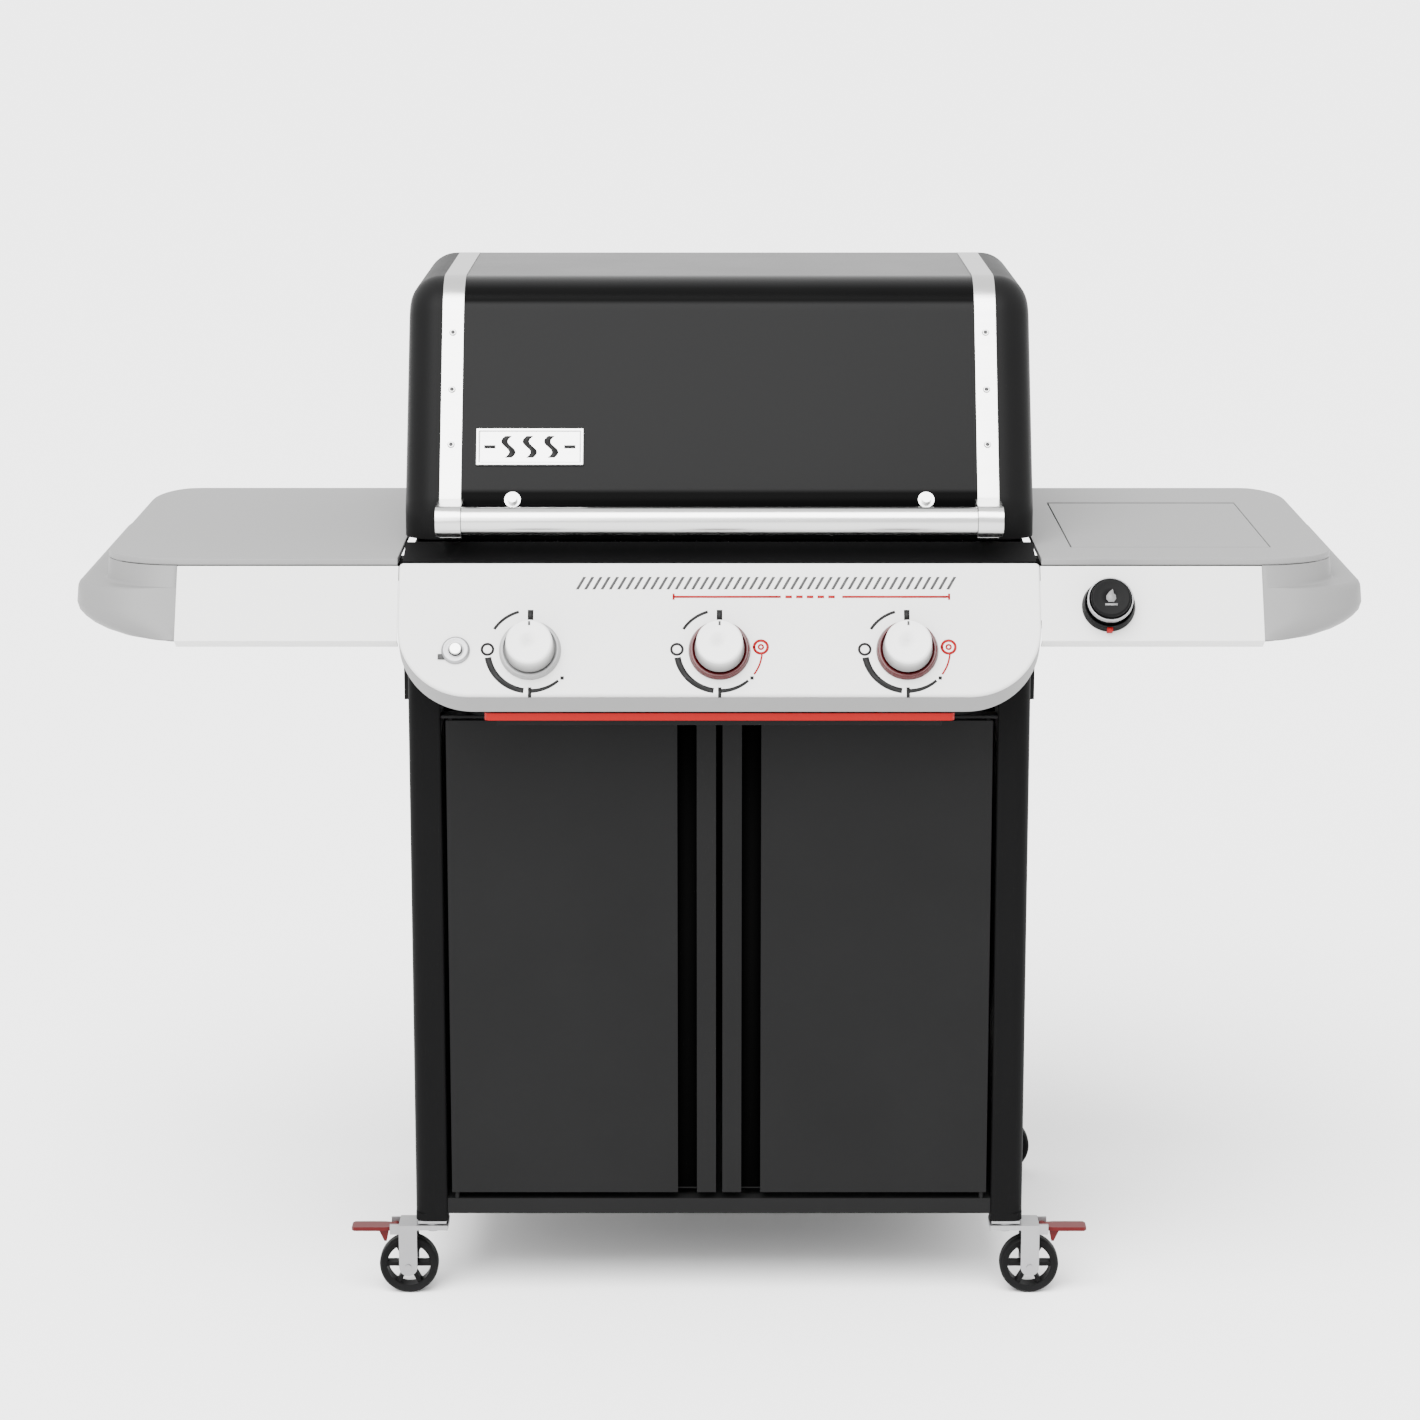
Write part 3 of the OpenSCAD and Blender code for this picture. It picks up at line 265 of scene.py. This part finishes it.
def loft(rings, closed=True, cap_start=False, cap_end=False):
    """Vertices and faces of a skin over rings that have the same number of points."""
    n = len(rings[0])
    verts = [p for ring in rings for p in ring]
    faces = []
    for i in range(len(rings) - 1):
        for j in range(n if closed else n - 1):
            k = (j + 1) % n
            faces.append((i * n + j, i * n + k, (i + 1) * n + k, (i + 1) * n + j))
    if cap_start:
        faces.append(tuple(range(n - 1, -1, -1)))
    if cap_end:
        faces.append(tuple((len(rings) - 1) * n + j for j in range(n)))
    return verts, faces


def lathe(name, profile, place, segments=72):
    """Turned piece: profile is a closed list of (radius, height); place maps x, y, z to the frame."""
    rings = [[place(r * math.cos(a), r * math.sin(a), h)
              for a in (2 * math.pi * j / segments for j in range(segments))] for r, h in profile]
    verts, faces = loft(rings + [rings[0]] if profile[0][0] > 0 else rings)
    return mesh_object(name, verts, faces)


def prism(shapes, place, z0, z1):
    """Thin solids from 2-D outlines, all in one mesh."""
    verts, faces = [], []
    for shape in shapes:
        base, n = len(verts), len(shape)
        verts += [place(x, y, z0) for x, y in shape] + [place(x, y, z1) for x, y in shape]
        faces.append(tuple(base + n + j for j in range(n)))
        faces.append(tuple(base + j for j in range(n - 1, -1, -1)))
        for j in range(n):
            k = (j + 1) % n
            faces.append((base + j, base + k, base + n + k, base + n + j))
    return verts, faces


def band(r, w0, w1, a0, a1, n=28):
    """Curved stroke whose width goes from w0 to w1."""
    outer, inner = [], []
    for i in range(n + 1):
        t = i / n
        a = math.radians(a0 + (a1 - a0) * t)
        w = (w0 + (w1 - w0) * t) / 2
        outer.append(((r + w) * math.cos(a), (r + w) * math.sin(a)))
        inner.append(((r - w) * math.cos(a), (r - w) * math.sin(a)))
    return outer + inner[::-1]


def rect(x0, y0, x1, y1):
    return [(x0, y0), (x1, y0), (x1, y1), (x0, y1)]


# ---- outlines -------------------------------------------------------------

def corner_arc(a, b, c, r, n):
    """Arc of radius r that rounds corner b of the path a-b-c."""
    a, b, c = Vector(a), Vector(b), Vector(c)
    u, v = (a - b).normalized(), (c - b).normalized()
    half = math.acos(max(-1, min(1, u.dot(v)))) / 2
    m = b + (u + v).normalized() * (r / math.sin(half))
    p, q = b + u * (r / math.tan(half)) - m, b + v * (r / math.tan(half)) - m
    a0 = math.atan2(p.y, p.x)
    turn = (math.atan2(q.y, q.x) - a0 + 3 * math.pi) % (2 * math.pi) - math.pi
    return [(m.x + r * math.cos(a0 + turn * i / n), m.y + r * math.sin(a0 + turn * i / n))
            for i in range(n + 1)]


def inset_corners(points, d):
    """Corners of a convex counterclockwise outline whose sides have moved inwards by d."""
    out = []
    for i, p in enumerate(points):
        p, before, after = Vector(p), Vector(points[i - 1]), Vector(points[(i + 1) % len(points)])
        e, f = (p - before).normalized(), (after - p).normalized()
        m, n = Vector((-e.y, e.x)), Vector((-f.y, f.x))
        out.append(tuple(p + (m + n) * (d / (1 + m.dot(n)))))
    return out


def rounded(points, radii, d=0.0, n=12):
    """Outline moved inwards by d, with its corners rounded."""
    pts = inset_corners(points, d)
    out = []
    for i in range(len(pts)):
        r = max(radii[i] - d, 0.0006)
        out += corner_arc(pts[i - 1], pts[i], pts[(i + 1) % len(pts)], r, n)
    return out


# ---- control panel --------------------------------------------------------

LEAN = math.radians(30)
PANEL_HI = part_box("control_panel")[1]
PANEL_Y, PANEL_Z = -0.248, PANEL_HI[2]
PANEL_HALF = PANEL_HI[0]
PANEL_L = 0.170
KNOB_DOWN = 0.113
KNOB_X = (-0.229, 0.0, 0.227)
DIAL_X, DIAL_DOWN = 0.472, 0.0565
IGNITER_X = -0.319


def on_face(x0, down):
    """Maps x, up-slope y and height z above the sloped face to the frame, from a point on it."""
    def place(x, y, z):
        d = down - y
        return (x0 + x, PANEL_Y - d * math.sin(LEAN) - z * math.cos(LEAN),
                PANEL_Z - d * math.cos(LEAN) + z * math.sin(LEAN))
    return place


FACE = on_face(0, 0)


def panel_ring(z, grow, d):
    corners = [(-PANEL_HALF, -PANEL_L - grow), (PANEL_HALF, -PANEL_L - grow), (PANEL_HALF, 0), (-PANEL_HALF, 0)]
    return [FACE(x, y, z) for x, y in rounded(corners, (0.088 + grow / 3, 0.088 + grow / 3, 0.006, 0.006), d, 20)]


def add_control_panel():
    """The pressed panel: a white face with a rolled edge, and a grey skirt that slants back under it."""
    roll = 0.0030
    rolled = [panel_ring(-roll * (1 - math.cos(a)), 0, roll * (1 - math.sin(a)))
              for a in (math.pi / 2 * i / 5 for i in range(6))]
    face = [panel_ring(0, 0, 0.0055)] + rolled + [panel_ring(-0.0050, 0.0009, 0), panel_ring(-0.0050, 0.0009, 0.003)]
    obj = mesh_object("panel_face", *loft(face, cap_start=True, cap_end=True))
    finish_piece(obj, MATS["white_paint"], "frame", ["control_panel"])
    skirt = [panel_ring(-0.0051, 0.0007, 0.003), panel_ring(-0.0051, 0.0007, 0.0003),
             panel_ring(-0.0056, 0.0009, 0), panel_ring(-0.0272, 0.0117, 0), panel_ring(-0.028, 0.01245, 0.0008),
             panel_ring(-0.028, 0.0115, 0.003)]
    obj = mesh_object("panel_skirt", *loft(skirt + [skirt[0]]))
    finish_piece(obj, MATS["grey_paint"], "frame", ["control_panel"])


def decal(name, shapes, mat, place, body="frame", z=0.0, t=0.0004):
    verts, faces = prism(shapes, place, z, z + t)
    return finish_piece(mesh_object(name, verts, faces), mat, body, weighted=False)


def ring(u0, v0, r, width):
    """A flat ring as two half bands round (u0, v0)."""
    halves = (band(r, width, width, 0, 180, 18), band(r, width, width, 180, 360, 18))
    return [[(u0 + u, v0 + v) for u, v in half] for half in halves]


def add_dial_print():
    """The printed scale round each knob, and the red searing mark on the right of two of them."""
    for i, x in enumerate(KNOB_X, 1):
        place = on_face(x, KNOB_DOWN)
        r = 0.0515
        strokes = [
            band(r, 0.0034, 0.0034, 106, 148), band(r, 0.0080, 0.0065, 190, 262),
            band(r, 0.0050, 0.0032, 271, 312), rect(-0.0018, -r - 0.0085, 0.0022, -r + 0.0045),
            rect(-0.0034, r - 0.0125, 0.0034, r + 0.0005), rect(r * 0.72, -r * 0.72, r * 0.80, -r * 0.64),
        ] + ring(-r, 0.0015, 0.0068, 0.0030)
        decal(f"dial_print_{i}", strokes, INK, place)
        if i > 1:
            marks = ring(0.0500, 0.0045, 0.0082, 0.0032) + ring(0.0500, 0.0045, 0.0028, 0.0022)
            marks += [rect(0.0400, 0.0030, 0.0435, 0.0060), band(r, 0.0022, 0.0022, -6, -36, 12)]
            decal(f"sear_mark_{i}", marks, INK_RED, place)


def add_hatch():
    """Slanted strokes and a thin red line along the top of the panel."""
    count = 46
    x0, x1 = -0.1745, 0.2755
    slant, width = 0.0088, 0.0036
    strokes = []
    for i in range(count):
        x = x0 + (x1 - x0) * i / (count - 1)
        strokes.append([(x, -0.0345), (x + width, -0.0345), (x + width + slant, -0.0185), (x + slant, -0.0185)])
    decal("panel_hatch", strokes, INK_GREY, FACE)
    decal("panel_red_line", [rect(-0.057, -0.0455, 0.0745, -0.0428), rect(0.149, -0.0455, 0.280, -0.0428),
                             rect(-0.057, -0.0480, -0.0545, -0.0400), rect(0.2775, -0.0480, 0.280, -0.0400)]
          + [rect(0.0800 + 0.0130 * i, -0.0458, 0.0880 + 0.0130 * i, -0.0425) for i in range(5)],
          INK_RED, FACE)


def knob_profile(r, z0, h):
    """Turned knob: a waisted skirt, a rounded rim and a slightly dished face."""
    edge = [(r - 0.0050 + 0.003 * math.cos(a), h - 0.003 + 0.003 * math.sin(a))
            for a in (math.pi / 2 * i / 6 for i in range(7))]
    return [(0.0042, z0), (0.0042, z0 + 0.018), (r - 0.005, z0 + 0.018), (r - 0.003, z0),
            (r - 0.0004, z0), (r, z0 + 0.0006), (r, z0 + 0.0022), (r - 0.0004, z0 + 0.003)] + edge + [
                (r - 0.0075, h - 0.0004), (r * 0.5, h - 0.0007), (0.0001, h - 0.0008)]


def turned(name, profile, place, mat, body, replaced=()):
    obj = lathe(name, profile, place)
    return finish_piece(obj, mat, body, replaced)


def add_knobs():
    out = Vector((0, -math.cos(LEAN), math.sin(LEAN)))
    foot = out.dot(Vector(on_face(0, KNOB_DOWN)(0, 0, 0)))
    # painted shade: the knobs' white plastic darkens towards the panel and lightens towards the face
    skirt = painted_shade_material("white_plastic", "plastic_knob_painted_shade", out, foot + 0.007, foot + 0.035,
                  ((0.0, 0.30), (0.55, 0.42), (0.86, 0.75), (0.93, 1.0)))
    for i, x in enumerate(KNOB_X, 1):
        place = on_face(x, KNOB_DOWN)
        turned(f"knob_cap_{i}", knob_profile(0.0300, 0.007, 0.035), place, skirt,
               f"knob_{i}", [f"knob_{i}"])
        decal(f"knob_pointer_{i}", [rect(-0.0013, 0.0205, 0.0013, 0.0255)], INK_GREY, place, f"knob_{i}", 0.0345, 0.0006)
        mat = BEZEL_RED if i > 1 else BEZEL_GREY
        turned(f"knob_bezel_{i}", [(0.009, 0), (0.0375, 0), (0.0375, 0.0016), (0.0371, 0.0022), (0.0356, 0.0074),
                                   (0.0350, 0.008), (0.0326, 0.008), (0.0322, 0.0074), (0.0322, 0.0025),
                                   (0.009, 0.0025)], place, mat, "frame", ["control_bezels"])


def add_side_dial():
    """The side burner's dial: black base and face, a bright ring, a red mark and a plain icon."""
    place = on_face(DIAL_X, DIAL_DOWN)
    turned("dial_base", [(0.009, 0), (0.0325, 0), (0.0325, 0.002), (0.0300, 0.0116), (0.0294, 0.012),
                         (0.0290, 0.0116), (0.0290, 0.0025), (0.009, 0.0025)],
           place, MATS["black_plastic"], "frame", ["control_bezels"])
    turned("dial_cap", knob_profile(0.0262, 0.007, 0.034), place, MATS["black_plastic"], "dial",
           ["side_burner_dial"])
    turned("dial_ring", [(0.0255, 0.020), (0.0275, 0.020), (0.0278, 0.0205), (0.0278, 0.0265),
                         (0.0272, 0.0275), (0.0255, 0.0275)], place, MATS["zinc_steel"], "dial")
    flame = [(-0.0030, -0.0060), (0.0030, -0.0060), (0.0060, -0.0020), (0.0055, 0.0025), (0.0030, 0.0050),
             (0.0022, 0.0105), (-0.0025, 0.0065), (-0.0058, 0.0020), (-0.0060, -0.0025)]
    decal("dial_icon", [rect(-0.0075, -0.0105, 0.0075, -0.0080), flame], ICON, place, "dial", 0.0334, 0.0005)
    decal("dial_red_mark", [rect(-0.0035, -0.0345, 0.0035, -0.0300)], INK_RED, place, "frame", 0, 0.010)


def add_igniter():
    place = on_face(IGNITER_X, KNOB_DOWN)
    turned("igniter_ring", [(0.0077, -0.012), (0.0105, -0.012), (0.0105, -0.040), (0.0125, -0.040), (0.0125, 0),
                            (0.0170, 0), (0.0175, 0.0006), (0.0172, 0.0020), (0.0160, 0.0036), (0.0135, 0.0042),
                            (0.0110, 0.0030), (0.0092, 0.0042), (0.0077, 0.0040)],
           place, MATS["zinc_steel"], "frame", ["control_bezels"])
    decal("igniter_tab", [rect(-0.0215, -0.0115, -0.0125, -0.005)], INK_GREY, place, "frame", 0, 0.002)


add_control_panel()
add_dial_print()
add_hatch()
add_knobs()
add_side_dial()
add_igniter()


# ---- lid ------------------------------------------------------------------

(SHROUD_X, LID_BACK, LID_TOP), LID_Z0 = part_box("lid_shroud")[1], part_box("lid_shroud")[0][2]
CAP_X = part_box("lid_right_cap")[1][0]
CAP_R = 0.040
LID_FRONT = -0.173
FACE_LOW = (LID_FRONT, LID_Z0 + 0.040)      # where the lid's sloping face would start, Y and Z
FACE_HIGH = (-0.03875, LID_TOP)


def lid_path(d):
    """The lid's side outline from its front foot over the top to its back foot, moved inwards by d."""
    z0 = LID_Z0 - 0.06
    corners = [(LID_FRONT, z0), (LID_BACK, z0), (LID_BACK, LID_TOP), FACE_HIGH, FACE_LOW]
    radii = (0.045, 0.045, 0.043, 0.070, 0.060)
    pts = inset_corners(corners, d)
    path = [(pts[0][0], LID_Z0)]
    for i in (4, 3, 2):
        r = max(radii[i] - d, 0.002)
        path += corner_arc(pts[(i + 1) % 5], pts[i], pts[i - 1], r, 16)
    return path + [(pts[1][0], LID_Z0)]


def shell(obj, t):
    mod = obj.modifiers.new("wall", "SOLIDIFY")
    mod.thickness = t
    mod.offset = -1


def add_lid():
    path = lid_path(0)
    rings = [[(x, y, z) for y, z in path] for x in (-SHROUD_X, -0.106, 0.106, SHROUD_X)]
    verts, faces = loft(rings, closed=False)
    shroud = mesh_object("lid_skin", verts, faces)
    shell(shroud, 0.003)
    z0, z1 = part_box("lid_shroud")[0][2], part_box("lid_shroud")[1][2]
    # painted shade and reflection: the enamel is darkened at the lid's bends and lightened, with more sheen, along
    # its crest
    bend_shade_stops = ((0.0, 0.15), (0.185, 0.15), (0.200, EVEN_TONE), (0.900, EVEN_TONE), (0.915, 0.15),
             (0.960, 0.4), (0.990, 1.0))
    enamel = painted_shade_material("black_enamel", "enamel_lid_painted_shade", (0, 0, 1), z0, z1, bend_shade_stops, 0.07, front=True)
    finish_piece(shroud, enamel, "lid", ["lid_shroud"])
    for side, s in (("left", -1), ("right", 1)):
        rings = [[(s * SHROUD_X, y, z) for y, z in path]]
        for i in range(13):
            a = math.pi / 2 * i / 12
            x = CAP_X - CAP_R + CAP_R * math.sin(a)
            rings.append([(s * x, y, z) for y, z in lid_path(CAP_R * (1 - math.cos(a)))])
        verts, faces = loft(rings, closed=False, cap_end=True)
        cap = mesh_object(f"lid_cap_skin_{side}", verts, faces)
        shell(cap, 0.003)
        finish_piece(cap, MATS["black_plastic"], "lid", [f"lid_{side}_cap"])


add_lid()


def on_lid_face(x0, f):
    """Maps x, up-slope y and height z to the frame, from the point f of the way up the lid's face."""
    run, rise = FACE_HIGH[0] - FACE_LOW[0], FACE_HIGH[1] - FACE_LOW[1]
    lean = math.atan2(run, rise)

    def place(x, y, z):
        return (x0 + x, FACE_LOW[0] + f * run + y * math.sin(lean) - z * math.cos(lean),
                FACE_LOW[1] + f * rise + y * math.cos(lean) + z * math.sin(lean))
    return place


def add_badge_mark():
    """Three wavy lines of rising heat on the plain plate."""
    shapes = []
    for cx in (0.040, 0.0665, 0.093):
        left = [(cx - 0.004 + 0.005 * math.sin(2 * math.pi * i / 16), -0.014 + 0.028 * i / 16) for i in range(17)]
        shapes.append(left + [(x + 0.008, y) for x, y in left[::-1]])
    shapes += [rect(0.010, -0.002, 0.024, 0.002), rect(0.109, -0.002, 0.123, 0.002)]
    decal("badge_mark", shapes, INK, on_lid_face(-0.301, 0.26), "lid", 0.0021, 0.0006)


def add_screw_socket_shade():
    """Dark grey hexagons on the screws of the lid's bright strips: painted shade where their sockets are."""
    hexagon = [(0.0028 * math.cos(math.pi / 3 * i), 0.0028 * math.sin(math.pi / 3 * i)) for i in range(6)]
    for side in (-1, 1):
        for i, f in enumerate((0.27, 0.51, 0.76)):
            # painted shade: a dark hexagon where each screw's socket is
            place = on_lid_face(side * (SHROUD_X + 0.0135), f)
            name = "left" if side < 0 else "right"
            decal(f"trim_screw_shade_{name}_{i}", [hexagon], INK_GREY, place, "lid", 0.0016, 0.0015)


add_badge_mark()
add_screw_socket_shade()


# ---- side tables ----------------------------------------------------------

TABLE_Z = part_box("left_table_top")[1][2]
CAP_IN = 0.6602
END_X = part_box("right_end_cap")[1][0]        # outer edge of the ledge
WALL_X = END_X - 0.036                       # outer face of the wall above the ledge
TABLE_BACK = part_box("left_table_top")[1][1]

# outline of the end moulding from the top down: (depth below the table top, outer edge)
CAP_TIERS = ((0.0080, WALL_X - 0.0022), (0.0086, WALL_X - 0.0008), (0.0100, WALL_X), (0.0290, WALL_X),
             (0.0318, WALL_X + 0.0012), (0.0330, WALL_X + 0.0050), (0.0334, END_X - 0.0100),
             (0.0342, END_X - 0.0055), (0.0362, END_X - 0.0020), (0.0400, END_X - 0.0003),
             (0.0440, END_X), (0.0590, END_X), (0.0670, END_X - 0.0035), (0.0735, END_X - 0.0105),
             (0.0800, END_X - 0.0205), (0.0860, END_X - 0.0340), (0.0905, END_X - 0.0520),
             (0.0923, END_X - 0.0720))


def cap_outline(side, drop, x_out):
    """Half outline of a table's end at one depth, from its front inner end round to its back."""
    y0 = PANEL_Y - (drop - 0.005) * math.tan(LEAN)
    points = [(CAP_IN, y0)]
    rx = min(0.097, x_out - CAP_IN)
    points += [(x_out - rx + rx * math.cos(a), y0 + 0.077 + 0.077 * math.sin(a))
               for a in (math.pi / 2 * (i / 24 - 1) for i in range(25))]
    rx = min(0.050, x_out - CAP_IN)
    points += [(x_out - rx + rx * math.cos(a), TABLE_BACK - 0.100 + 0.100 * math.sin(a))
               for a in (math.pi / 2 * i / 16 for i in range(17))]
    points.append((CAP_IN, TABLE_BACK))
    return [(side * x, y, TABLE_Z - drop) for x, y in points]


def add_end_caps():
    """Moulded ends with an upper wall, a rounded ledge below it and a belly that turns under."""
    for side, name in ((-1, "left"), (1, "right")):
        rings = [cap_outline(side, drop, x) for drop, x in CAP_TIERS]
        verts, faces = loft(rings, closed=False)
        obj = mesh_object(f"{name}_end_moulding", verts, faces)
        shell(obj, 0.0025)
        finish_piece(obj, MATS["grey_plastic"], "frame", [f"{name}_end_cap"])


add_end_caps()


# ---- carried-over CAD nodes -----------------------------------------------

EDGES = {
    "cabinet_floor": 0.8, "cabinet_back": 0.8, "left_side_panel": 1.6, "right_side_panel": 1.6,
    "left_door": 1.6, "right_door": 1.6, "left_table_top": 1.5, "right_table_top": 1.5, "table_fascias": 1.0,
    "side_burner_lid": 1.2, "grease_tray": 0.8, "tray_front": 1.5, "foot_caps": 1.2, "front_rails": 1.0,
    "cookbox": 1.0, "handle_brackets": 2.0, "handle_tube": 1.5, "lid_trims": 0.6, "badge": 0.8,
    "trim_screws": 0.6, "caster_plates": 0.5, "brake_left": 1.0, "brake_right": 1.0,
}


def bevel(obj, width_mm):
    """Welds split corners and eases the edges; the CAD mesh itself isn't changed."""
    obj.modifiers.new("weld", "WELD").merge_threshold = 1e-5
    mod = obj.modifiers.new("ease", "BEVEL")
    mod.width = width_mm * MM
    mod.segments = 2
    mod.limit_method = "ANGLE"
    mod.angle_limit = math.radians(32)
    mod.harden_normals = False


def dress_nodes():
    for part in frame["record"]["subparts"]:
        name = part["node"]
        obj = frame["nodes"].get(name)
        if obj is None:
            continue
        obj.data.materials.clear()
        # painted shade: the side panels, cookbox and foot caps get the darker copy of the black paint
        deep = name in ("left_side_panel", "right_side_panel", "cookbox", "foot_caps")
        obj.data.materials.append(SHADED_BLACK_PAINT if deep else MATS[part["material_slot"]])
        if name in EDGES:
            bevel(obj, EDGES[name])
            obj.modifiers.new("weighted", "WEIGHTED_NORMAL")


dress_nodes()


# ---- door channels --------------------------------------------------------

def add_door_channel_shadows():
    """Painted shadow: dark sheets in the finger channels, so that they read as deep shade."""
    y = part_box("left_door")[0][1] + 0.016
    z0, z1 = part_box("left_door")[0][2] + 0.002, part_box("left_door")[1][2] - 0.002
    for side, name in ((-1, "left"), (1, "right")):
        channel = rect(side * 0.0281, z0, side * 0.0519, z1)
        verts, faces = prism([channel], lambda x, z, h: (x, y - h, z), 0.0, 0.0006)
        finish_piece(mesh_object(f"{name}_channel_painted_shadow", verts, faces), CHANNEL_SHADOW, f"{name}_door", weighted=False)


add_door_channel_shadows()


# ---- floor and light ------------------------------------------------------

FLOOR_HALF = 160                             # metres, so that its edge meets the backdrop far off
WORLD_STRENGTH = 2.2
SUN_STRENGTH = 8.0
KEY_POWER = 120


def add_floor():
    """Pale floor that blends into the backdrop."""
    mesh = bpy.data.meshes.new("floor")
    corners = [(FLOOR_HALF * x, FLOOR_HALF * y, 0) for x, y in ((-1, -1), (1, -1), (1, 1), (-1, 1))]
    mesh.from_pydata(corners, [], [(0, 1, 2, 3)])
    floor = bpy.data.objects.new("floor", mesh)
    bpy.context.collection.objects.link(floor)
    floor.data.materials.append(material("floor", (0.95, 0.95, 0.95), 0.9, grain=40, bump=0.0, mottle=0.0,
                                         rough_var=0.0, spec=0.2))


def add_area(name, location, target, size, power):
    data = bpy.data.lights.new(name, "AREA")
    data.shape = "RECTANGLE"
    data.size, data.size_y = size
    data.energy = power
    light = bpy.data.objects.new(name, data)
    light.location = location
    light.rotation_euler = (Vector(target) - Vector(location)).to_track_quat("-Z", "Y").to_euler()
    bpy.context.collection.objects.link(light)


def add_light():
    """White studio: an even backdrop, a very wide sun and one soft key from the front left."""
    world = bpy.data.worlds.new("studio")
    world.use_nodes = True
    back = world.node_tree.nodes["Background"]
    back.inputs["Color"].default_value = (1, 1, 1, 1)
    back.inputs["Strength"].default_value = WORLD_STRENGTH
    bpy.context.scene.world = world
    sun = bpy.data.lights.new("soft_sun", "SUN")
    sun.angle = math.radians(50)
    sun.energy = SUN_STRENGTH
    light = bpy.data.objects.new("soft_sun", sun)
    light.rotation_euler = (math.radians(30), math.radians(-10), 0)
    bpy.context.collection.objects.link(light)
    add_area("key", (-1.6, -4.2, 2.6), (0, 0, 0.7), (2.6, 2.0), KEY_POWER)


add_floor()
add_light()
